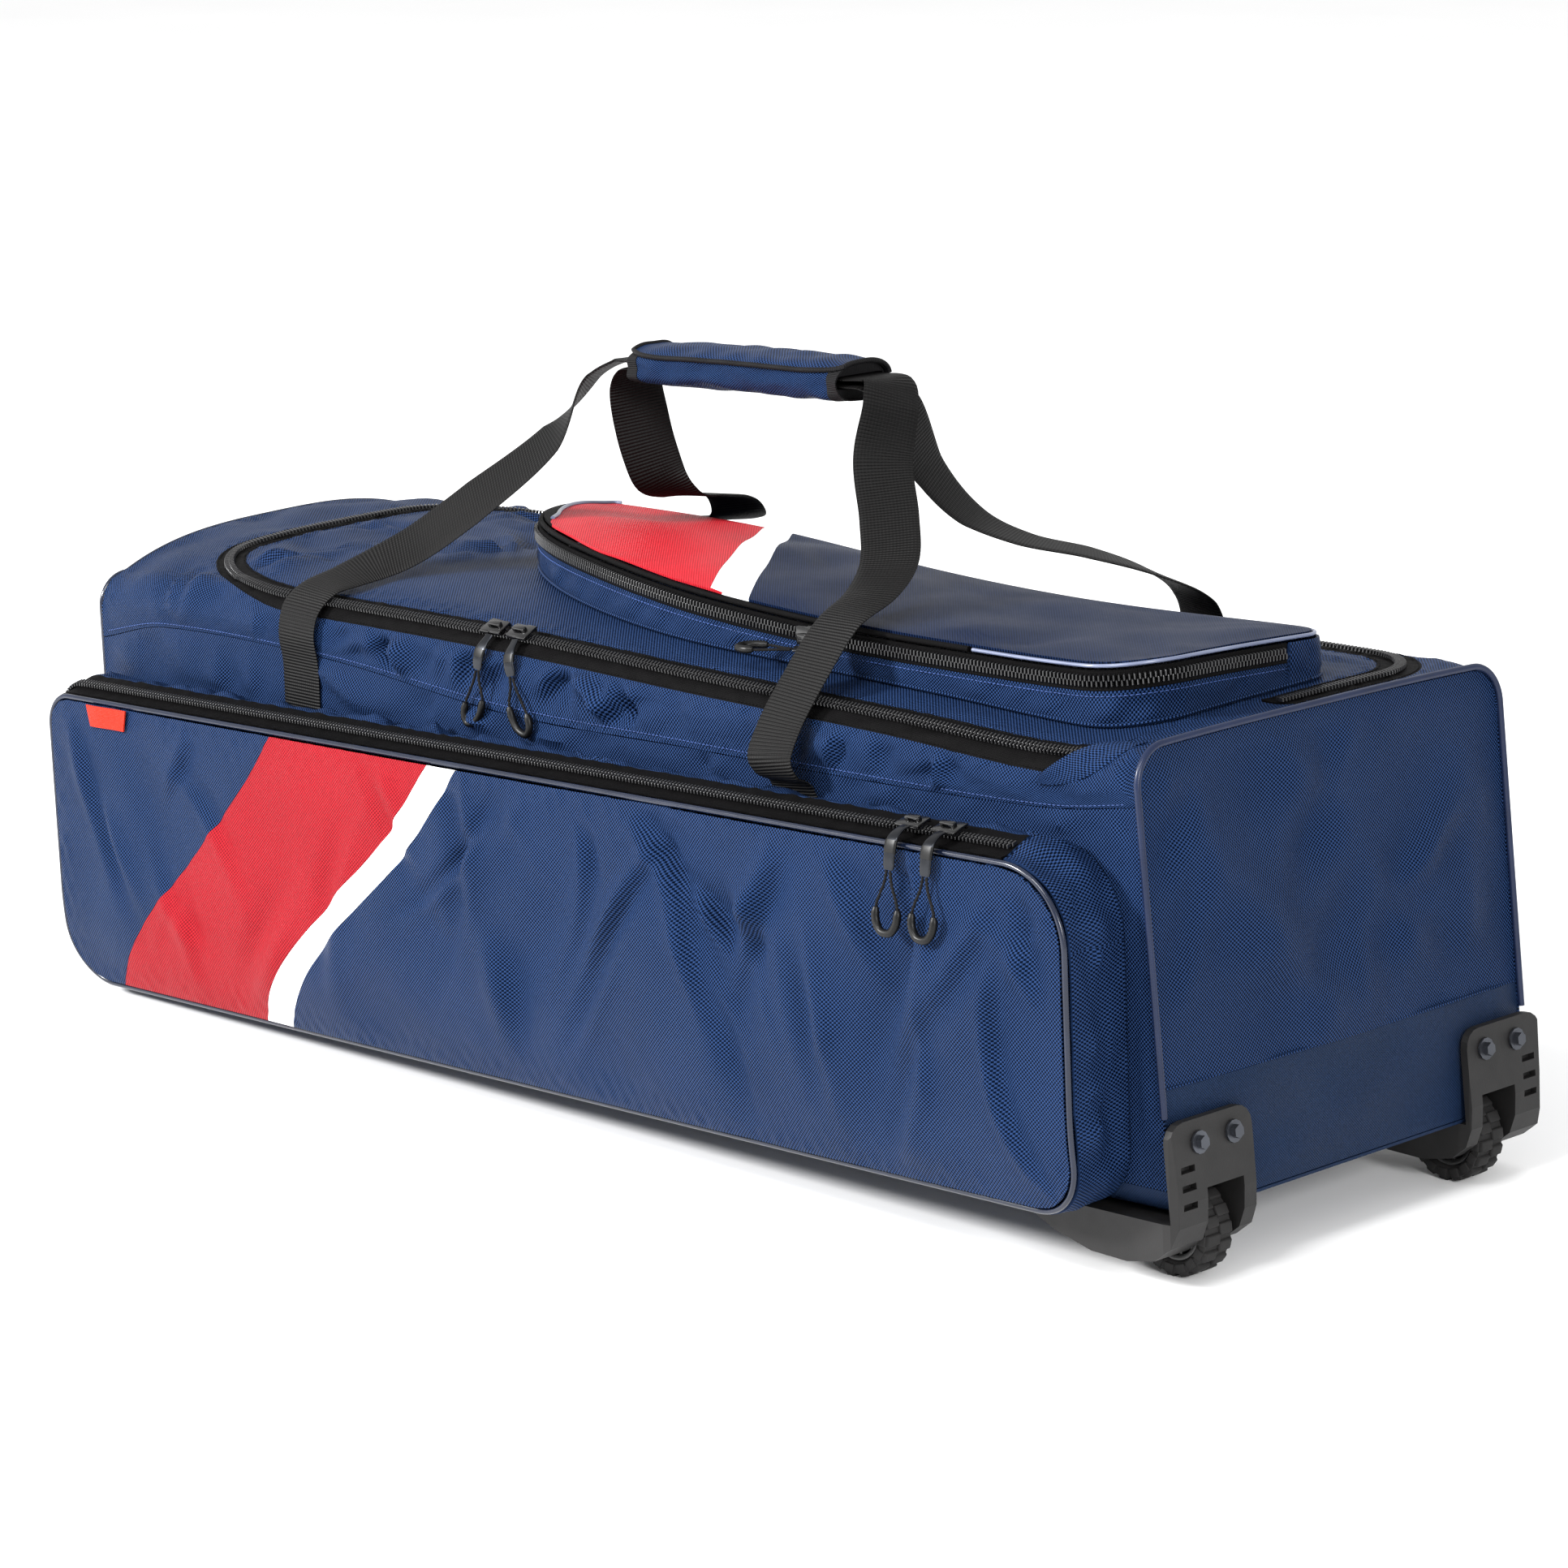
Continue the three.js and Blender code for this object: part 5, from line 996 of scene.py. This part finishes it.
def face(pieces, lines, rows, surface, spacing, outward):
    """The panels of a face, each between two lines, with a hair's gap at its seams."""
    for k, (name, material) in enumerate(pieces):
        first = np.maximum(lines[k], lines[0]) + (PANEL_GAP if k else 0)
        second = np.maximum(lines[k + 1], first + 0.5) - (PANEL_GAP if k < len(pieces) - 1 else 0)
        strip(name, first, second, rows, surface, spacing, material, outward)


def rim_of(rect, radii):
    """A pocket's rim, its outward normals and the lengths round it."""
    rim, normal = rounded_loop(rect, radii, 3)
    return rim, normal, np.cumsum(np.linalg.norm(np.roll(rim, -1, 0) - rim, axis=1))


def out_from(rim, normals, level, off):
    """Both coordinates of a rim moved outward; levels with a second axis make rows of it."""
    if level.ndim > 1:
        rim, normals = rim[:, None], normals[:, None]
    return np.moveaxis(rim + normals * np.asarray(off)[..., None], -1, 0)


def in_pocket_plane(rim, normals, y, off):
    rise = zip_rise(normals[:, None] if y.ndim > 1 else normals, y)
    x, z = out_from(rim, normals, y, off + rise)
    return grid(x, y, z)


def in_top_plane(rim, normals, z, off):
    return grid(*out_from(rim, normals, z, off), z)


# Front pocket

def pocket_surface(x, z):
    edge = rim_distance(POCKET, POCKET_R, x, z)
    soft = 0.8 * waves(81, 110, x, 0.75 * z)
    soft = soft + crumple(82, x, z, (-500, 460, 60, 215), 28, 50, 11, 4.4, (-75, -55, 60))
    soft = soft + crumple(85, x, z, (150, 460, 90, 210), 12, 42, 10, 6.0, (-75, -50, 65))
    soft = soft + placed_folds(x, z, SHARP_FOLDS, 2.8)
    pucker = 0.45 * waves(83, 13, x, z) * np.exp(-edge / 10)
    y = pocket_face_y(x, z) - (soft + pucker) * smooth(edge, 4, 30) - pucker * smooth(edge, 4, 8)
    return np.stack([x, y, z], -1)


rows, lean, low, high = face_rows(POCKET, POCKET_R, 92)
red = -461 + 204 * lean - 9 * np.sin(np.pi * lean) * np.cos(np.pi * lean) * 2
face((
    ("pocket_face_far", NAVY), ("pocket_stripe_red", RED), ("pocket_stripe_white", WHITE),
    ("pocket_face_near", NAVY),
), [low, red, red + 166, red + 195, high], rows, pocket_surface, 3.2, -Y)

rim, normal, length = rim_of(POCKET, POCKET_R)
outward = grid(normal[:, 0], 0, normal[:, 1])
gusset_front = pocket_edge_y(rim[:, 1]) + PIPING_ROOM
gusset_back = -read("wall", station_at(rim[:, 0], rim[:, 1])) - 1
zipped = ((normal[:, 1] > 0.5) & (rim[:, 0] <= POCKET_ZIP_X)) | (
    (normal[:, 0] < -0.5) & (rim[:, 1] >= POCKET_ZIP_Z)) | ((normal[:, 0] < 0) & (normal[:, 1] > 0))
start = np.where(zipped, gusset_front + POCKET_TAPE + 0.4, gusset_front)
t = np.linspace(0, 1, 15)[None, :]
y = start[:, None] + (gusset_back - start)[:, None] * t
soft = 1.8 * waves(91, 40, length[:, None], y) - 0.6 + 2.6 * creases(92, 45, length[:, None], 1.4 * y)
soft = soft * np.sin(np.pi * t) * (1 - 0.8 * np.maximum(-normal[:, 1:], 0))
sheet("pocket_gusset", in_pocket_plane(rim, normal, y, soft), NAVY, outward[:, None], wrap=True)

run = run_of(zipped)
t = np.linspace(0, 1, 7)[None, :]
y = gusset_front[run][:, None] + POCKET_TAPE * t
off = -0.5 * np.sin(np.pi * t) + 0.25 * waves(93, 15, length[run][:, None], y)
tape = in_pocket_plane(rim[run], normal[run], y, off)
sheet("pocket_zip_tape", tape, TAPE, outward[run][:, None], thick=1.4)
path = in_pocket_plane(rim[run], normal[run], gusset_front[run] + POCKET_TAPE / 2, CHAIN_LIFT - CHAIN_SINK)
zip_chain("pocket_zip_chain", path, unit(outward[run] - 0.3 * Y * normal[run][:, 1:]))
path = in_pocket_plane(rim, normal, pocket_edge_y(rim[:, 1]) + 1, -PIPING_R - 0.4)
tube("pocket_piping", path, Y, 1.9, PIPING, closed=True)

TAB_X, TAB_HALF, TAB_DROP, TAB_TOP = -444, 23, 15, POCKET[3] - FACE_INSET
x, drop = np.linspace(-TAB_HALF, TAB_HALF, 24)[:, None], np.linspace(0, TAB_DROP, 12)[None, :]
x = TAB_X + x * (1 - 0.17 * drop / TAB_DROP)
y = pocket_face_y(float(TAB_X), TAB_TOP - TAB_DROP / 2) - 1.8 - 0.5 * np.sin((x - TAB_X + TAB_HALF) / 7)
sheet("side_tab", grid(x, y, TAB_TOP - drop), ORANGE, -Y, thick=1.0)


# Top pocket

def top_pocket_surface(x, y):
    soft = 0.8 * waves(101, 110, x, y) + crumple(102, x, y, (0, 430, -110, 60), 10, 50, 16, 2.0, (10, 60, -40))
    z = top_edge_z(x, y) + TOP_BULGE * middle_of(TOP, x, y)
    return np.stack([x, y, z + (soft - 0.4) * smooth(rim_distance(TOP, TOP_R, x, y), 4, 26)], -1)


rows, lean, low, high = face_rows(TOP, TOP_R, 70)
end_tape = low + 15 * smooth(rows, -62, -25)
wide = rows > -60
strip("top_pocket_end_tape", low[wide], np.maximum(end_tape, low + 0.5)[wide], rows[wide],
      top_pocket_surface, 3.6, TAPE, Z)
face((
    ("top_pocket_red", RED_TOP_PAINTED_LIGHT), ("top_pocket_white", WHITE), ("top_pocket_navy", NAVY_TOP_PAINTED_SHADE),
), [end_tape, 72 - 134 * lean, 108 - 144 * lean, high], rows, top_pocket_surface, 3.6, Z)
ends = np.stack([end_tape, rows], 1)[rows > -45].T

rim, normal, length = rim_of(TOP, TOP_R)
outward = grid(normal[:, 0], normal[:, 1], 0)
edge_z = top_edge_z(*rim.T)
head = edge_z - PIPING_ROOM
foot = lid_z(*rim.T) + 0.5
zipped = (normal[:, 1] < 0.5) & (rim[:, 1] <= np.where(normal[:, 0] > 0.5, TOP_ZIP_Y, TOP[3]))
start = np.where(zipped, head - TOP_TAPE - 0.4, head)
t = np.linspace(0, 1, 11)[None, :]
z = start[:, None] + (foot - start)[:, None] * t
soft = 0.9 * waves(111, 34, length[:, None], z) + 0.8 * creases(112, 36, length[:, None], z)
band = in_top_plane(rim, normal, z, soft * np.sin(np.pi * t))
sheet("top_pocket_gusset", band, NAVY, outward[:, None], wrap=True)
tube("top_pocket_foot_seam", in_top_plane(rim, normal, foot + 1.6, 0.7), Z, 1.1, NAVY, closed=True)

run = run_of(zipped)
stitches("top_pocket_stitches", [(in_top_plane(rim[run], normal[run], start[run] - 3, 0.5), outward[run])])
t = np.linspace(0, 1, 6)[None, :]
tape = in_top_plane(rim[run], normal[run], head[run][:, None] - TOP_TAPE * t, -0.4 * np.sin(np.pi * t))
sheet("top_pocket_zip_tape", tape, TAPE, outward[run][:, None], thick=1.4)
path = in_top_plane(rim[run], normal[run], head[run] - TOP_TAPE / 2, CHAIN_LIFT - CHAIN_SINK)
zip_chain("top_pocket_zip_chain", path, outward[run])
path = in_top_plane(rim, normal, edge_z + 1 - PIPING_R, -PIPING_R - 0.4)
is_grey = (rim[:, 0] > 300) | (rim[:, 1] > 60)
tube("top_pocket_piping", path[run_of(is_grey)], Z, 1.2, GREY_PIPING)
tube("top_pocket_front_edge", path[run_of(~is_grey)], Z, 1.9, TAPE)
tube("top_pocket_end_piping", top_pocket_surface(*ends) + [0, 0, 0.6], Z, 1.5, GREY_PIPING)

slider_z = top_edge_z(float(TOP_SLIDER_X), float(TOP[2])) - PIPING_ROOM - TOP_TAPE / 2
slider_at = np.array([TOP_SLIDER_X, TOP[2] - SLIDER_LIFT, slider_z])
zip_slider("top_pocket_slider", slider_at, X, Z, -Y)
rows = [slider_at + [0, -5, -7.2] + np.array([-6.5, -4, -0.2]) * t for t in (0, 0.5, 1)]
pull_tab("top_pocket_tab", rows, [0, -0.2, 1])
slope = unit(np.array([-0.95, -0.25, 0]))
pull("top_pocket_pull", rows[2] + slope + [0, 0, -0.4], [0.25, -0.95, 0], slope)


# Straps and grip

# x, y, z, and the direction of the webbing's width
STRAP_FRONT = [
    (-284, -168.6, 222, 1, 0, 0), (-283, -169, 252, 1, 0, 0), (-282, -172, 274, 1, 0, 0),
    (-281, -167, 291, 1, 0, -0.1), (-280, -152, 302, 1, 0, -0.1), (-277, -131, 307, 0.95, -0.15, -0.2),
    (-269, -110, 314, 0.9, -0.25, -0.35), (-250, -92, 326, 0.8, -0.35, -0.5),
    (-208, -72, 356, 0.65, -0.4, -0.65), (-158, -42, 400, 0.5, -0.6, -0.6),
    (-141, -14, 441, 0.2, -0.95, -0.2), (-123, -0.5, 451.2, 0, -1, 0), (-99, 0, 452.2, 0, -1, 0),
    (0, 0, 452.2, 0, -1, 0), (99, 0, 452.2, 0, -1, 0), (126, -0.5, 451.4, 0, -1, 0),
    (137, -10, 438, -0.3, -0.95, 0), (142, -24, 405, -0.65, -0.75, 0), (166, -44, 372, -0.75, -0.65, 0),
    (187, -66, 349, -0.85, -0.5, 0), (202, -98, 334, -0.95, -0.25, 0), (203, -128, 321, -1, 0, 0),
    (201, -155, 293, -1, 0, 0), (198, -178, 262, -1, 0, 0), (199, -187, 245, -1, 0, 0),
    (201, -183, 235, -1, 0, 0), (203, -174, 229, -1, 0, 0), (204, -169.8, 220, -1, 0, 0),
]
STRAP_BACK = [
    (-268, 168.6, 222, -1, 0, 0), (-267, 168.9, 256, -1, 0, 0), (-262, 170.5, 284, -1, 0, 0),
    (-246, 157, 308, -0.95, -0.2, 0), (-205, 132, 319, -0.7, -0.7, 0), (-158, 116, 324, -0.65, -0.75, 0),
    (-128, 100, 333, -0.8, -0.6, 0), (-113, 78, 348, -0.95, -0.3, 0), (-110, 54, 353, -0.95, -0.3, 0),
    (-111, 30, 357, -0.9, -0.45, 0), (-113, 16, 368, -0.8, -0.6, 0), (-117, 10, 388, -0.7, -0.7, 0),
    (-121, 7, 412, -0.6, -0.8, 0), (-121, 4, 434, -0.3, -0.95, 0), (-113, 0.5, 445.4, 0, -1, 0),
    (-99, 0, 447.5, 0, -1, 0), (0, 0, 447.5, 0, -1, 0), (99, 0, 447.6, 0, -1, 0),
    (121, 0.5, 446.2, 0, -1, 0), (128, 8, 434, 0.1, -1, 0), (130, 30, 390, 0.2, -1, 0),
    (148, 48, 360, 0.25, -1, 0), (178, 64, 345, 0.4, -0.9, 0), (213, 90, 335, 0.6, -0.8, 0),
    (237, 122, 320, 0.85, -0.5, 0), (243, 155, 299, 1, -0.1, 0), (236, 170.5, 268, 1, 0, 0),
    (229, 168.8, 242, 1, 0, 0), (227, 168.6, 222, 1, 0, 0),
]
for name, rows in (("strap_front", STRAP_FRONT), ("strap_back", STRAP_BACK)):
    rows = np.array(rows, float)
    path, places = spline(rows[:, :3], 3)
    width = np.stack([np.interp(places, np.arange(len(rows)), rows[:, k]) for k in (3, 4, 5)], 1)
    under, across = frames_along(path, width)
    x = np.linspace(-STRAP_HALF, STRAP_HALF, 17)
    top = np.stack([x, STRAP_THICK - STRAP_EDGE * (np.abs(x) / STRAP_HALF) ** 14], 1)
    points, faces, uv = swept(path, across, -under, np.concatenate([top * [1, -1], top[::-1]]))
    finish_mesh(name, points, faces, WEBBING, uv=uv, sharp=50)


def wrap_ring(angle, half, height, power):
    c, s = np.cos(angle), np.sin(angle)
    r = 1 / (np.abs(c) ** power + np.abs(s) ** power) ** (1 / power)
    return half * r * c, height * r * s


def wrap_shape(t, angle, grow=0.0):
    """The grip's outer surface, arched a little and narrower at its ends."""
    x = WRAP_X0 + (WRAP_X1 - WRAP_X0) * t
    swell = 0.9 + 0.1 * np.minimum(1, 9 * np.clip(t * (1 - t), 0, 1))
    soft = 1 + 0.025 * waves(121, 34, x + 0 * angle, 30 * angle + 0 * x)
    y, z = wrap_ring(angle, WRAP_HALF, WRAP_HEIGHT, 3)
    lean = 1.5 * np.sin(np.pi * np.clip(t, 0, 1)) - 0.8
    y, z = (y * swell + grow * np.cos(angle)) * soft, (z * swell + grow * np.sin(angle)) * soft
    return grid(x, y, WRAP_Z + z + lean)


def handle_wrap():
    t = np.concatenate([[0, 0.012, 0.03], np.linspace(0.06, 0.94, 60), [0.97, 0.988, 1]])[None, :]
    angle = 2 * np.pi * np.arange(64)[:, None] / 64
    outer = wrap_shape(t, angle)
    y, z = wrap_ring(angle, 21, 4.2, 12)
    inner = grid(WRAP_X0 + (WRAP_X1 - WRAP_X0) * t, y, WRAP_Z + z)
    rows, cols = outer.shape[:2]
    n = rows * cols
    here = np.arange(n).reshape(rows, cols)
    after = np.roll(here, -1, 0)
    quads = np.stack([here[:, :-1], here[:, 1:], after[:, 1:], after[:, :-1]], -1).reshape(-1, 4)
    a, b, c, d = here[:, 0], after[:, 0], here[:, -1], after[:, -1]
    ends = [np.stack([a, b, n + b, n + a], -1), np.stack([n + c, n + d, d, c], -1)]
    faces = np.concatenate([quads, quads[:, ::-1] + n, *ends])
    around = grid((WRAP_X1 - WRAP_X0) * t, WRAP_HALF * angle).reshape(-1, 2)
    points = np.concatenate([outer.reshape(-1, 3), inner.reshape(-1, 3)])
    wrap = finish_mesh("handle_wrap", points, faces.tolist(), NAVY, uv=np.concatenate([around, around]))
    # The sleeve's inner shell and its ends take the black binding cloth as painted shade inside the sleeve.
    wrap.data.materials.append(BINDING_AND_SLEEVE_SHADE)
    for polygon in wrap.data.polygons[len(quads):]:
        polygon.material_index = 1
    band = np.linspace(0, 1, 5)[None, :]
    for name, a, b in (("handle_far_binding", -0.012, 0.035), ("handle_near_binding", 0.965, 1.012)):
        sheet(name, wrap_shape(a + (b - a) * band, angle, 0.5), BINDING_AND_SLEEVE_SHADE, Z, thick=0.9, wrap=True)
    # The flap: folded over the top from the back, with a bound edge along the front
    t = np.linspace(-0.015, 1.015, 60)[:, None]
    start = 2.62 - 0.3 * np.abs(2 * t - 1) ** 8
    flap = wrap_shape(t, start + (0.25 - start) * np.linspace(0, 1, 24)[None, :], 1.6)
    sheet("handle_flap", flap, NAVY, Z, thick=1.1)
    edge = np.concatenate([flap[0, ::-1], flap[1:-1, 0], flap[-1]])
    tube("handle_flap_binding", edge, Z, 1.7, BINDING_AND_SLEEVE_SHADE)


handle_wrap()


# Wheels

def wheel(side, end):
    centre = np.array([WHEEL_X, side * WHEEL_Y, WHEEL_Z], float)
    w, half, tread = WHEEL_WIDTH / 2, WHEEL_WIDTH * 0.36, WHEEL_R - 2.4
    flank = [(19.2, 0.72), (20.5, 0.86), (23, 0.93), (tread, 0.9), (tread + 0.3, 0.5)]
    tyre = Soup()
    near, far = ([(r, s * w * k) for r, k in flank] for s in (-1, 1))
    tyre.turn([*near, (tread + 0.4, 0), *far[::-1]], centre, 64)
    lug = block((7.6, 11.5, 3.4), 0.8, taper=0.86)
    shoulder = block((7.0, 2.6, 6.0), 0.8, taper=0.9)
    for row in (-1, 1):
        out, along = spokes(16, 0.25 * row)
        across = np.broadcast_to(Y * row, out.shape)
        tyre.copies(lug, centre + out * (WHEEL_R - 1.75) + across * 5.3, along, across, out)
        tyre.copies(shoulder, centre + out * (WHEEL_R - 5.4) + across * (w - 1.5), along, across, out)
    tyre.make(f"tyre_{end}", RUBBER, body=f"wheel_{end}")
    hub = Soup()
    hub.turn([
        (18.9, -half), (18.9, half), (17.8, half), (16, half - 1.2), (15.4, 0), (16, 1.2 - half), (17.8, -half),
    ], centre)
    hub.turn([(4.3, -half), (8, -half), (8.6, 0.8 - half), (8.6, half - 0.8), (8, half), (4.3, half)], centre)
    out, along = spokes(9)
    spoke = block((8.4, 2.6, half * 1.5), 0.5)
    hub.copies(spoke, centre + out * 12, out, along, np.broadcast_to(Y, out.shape))
    hub.turn([(8, -1), (16, -1), (16, 1), (8, 1)], centre)
    hub.make(f"wheel_hub_{end}", HUB, body=f"wheel_{end}")


def slot_backing(side, end):
    """The floor of the housing's three slots."""
    up = unit(np.array([-WHEEL_END_LEAN / END_HEIGHT, 0, 1]))
    middle = np.array([lean_x(WHEEL_END_X, SLOT_Z) + PLATE_SEAT - 0.2, side * SLOT_Y, SLOT_Z])
    soup = Soup()
    soup.copies(block((1.6, 17, 34), 0.3), middle[None], np.cross(Y, up)[None], Y[None], up[None])
    soup.make(f"slot_backing_{end}", HOUSING)


for side, end in ((-1, "front"), (1, "back")):
    wheel(side, end)
    slot_backing(side, end)
    housing, bolts = f"wheel_housing_{end}", [f"bolt_{end}_outer", f"bolt_{end}_inner"]
    dress(HOUSING, housing)
    dress(STEEL, f"axle_{end}", *bolts)
    for name in (housing, *bolts):
        bevel = NODES[name].modifiers.new("soft_edges", "BEVEL")
        bevel.width = 0.0022 if name == housing else 0.0004
        bevel.segments = 3
        bevel.limit_method = "ANGLE"
        bevel.angle_limit = math.radians(35)


# Floor and light

FLOOR = 9
mesh = bpy.data.meshes.new("floor")
corners = [(-FLOOR, -FLOOR, 0), (FLOOR, -FLOOR, 0), (FLOOR, FLOOR, 0), (-FLOOR, FLOOR, 0)]
mesh.from_pydata(corners, [], [(0, 1, 2, 3)])
sh = Shader("floor")
colour = sh.mix(sh.noise(2.0), (0.86, 0.86, 0.86, 1), (0.9, 0.9, 0.9, 1))
mesh.materials.append(sh.set(Base_Color=colour, Roughness=0.7))
new_object("floor", mesh)


def lamp(name, at, target, size, power):
    data = bpy.data.lights.new(name, "AREA")
    data.shape = "RECTANGLE"
    data.size, data.size_y = size
    data.energy = power
    obj = new_object(name, data)
    obj.location = at
    obj.rotation_euler = (Vector(target) - Vector(at)).to_track_quat("-Z", "Y").to_euler()


lamp("key", (-3.0, -4.9, 3.0), (0, 0, 0.2), (1.0, 1.0), 830)
lamp("side", (3.2, -1.0, 1.4), (0.4, 0, 0.2), (0.8, 0.8), 76)
lamp("front", (0.6, -2.4, 3.0), (0, 0, 0.3), (1.4, 1.0), 105)
world = bpy.data.worlds.new("studio")
world.use_nodes = True
background = world.node_tree.nodes["Background"].inputs
background[0].default_value = (1, 1, 1, 1)
background[1].default_value = 1.0
bpy.context.scene.world = world
bpy.context.scene.view_settings.view_transform = "Standard"
bpy.context.scene.view_settings.look = "None"
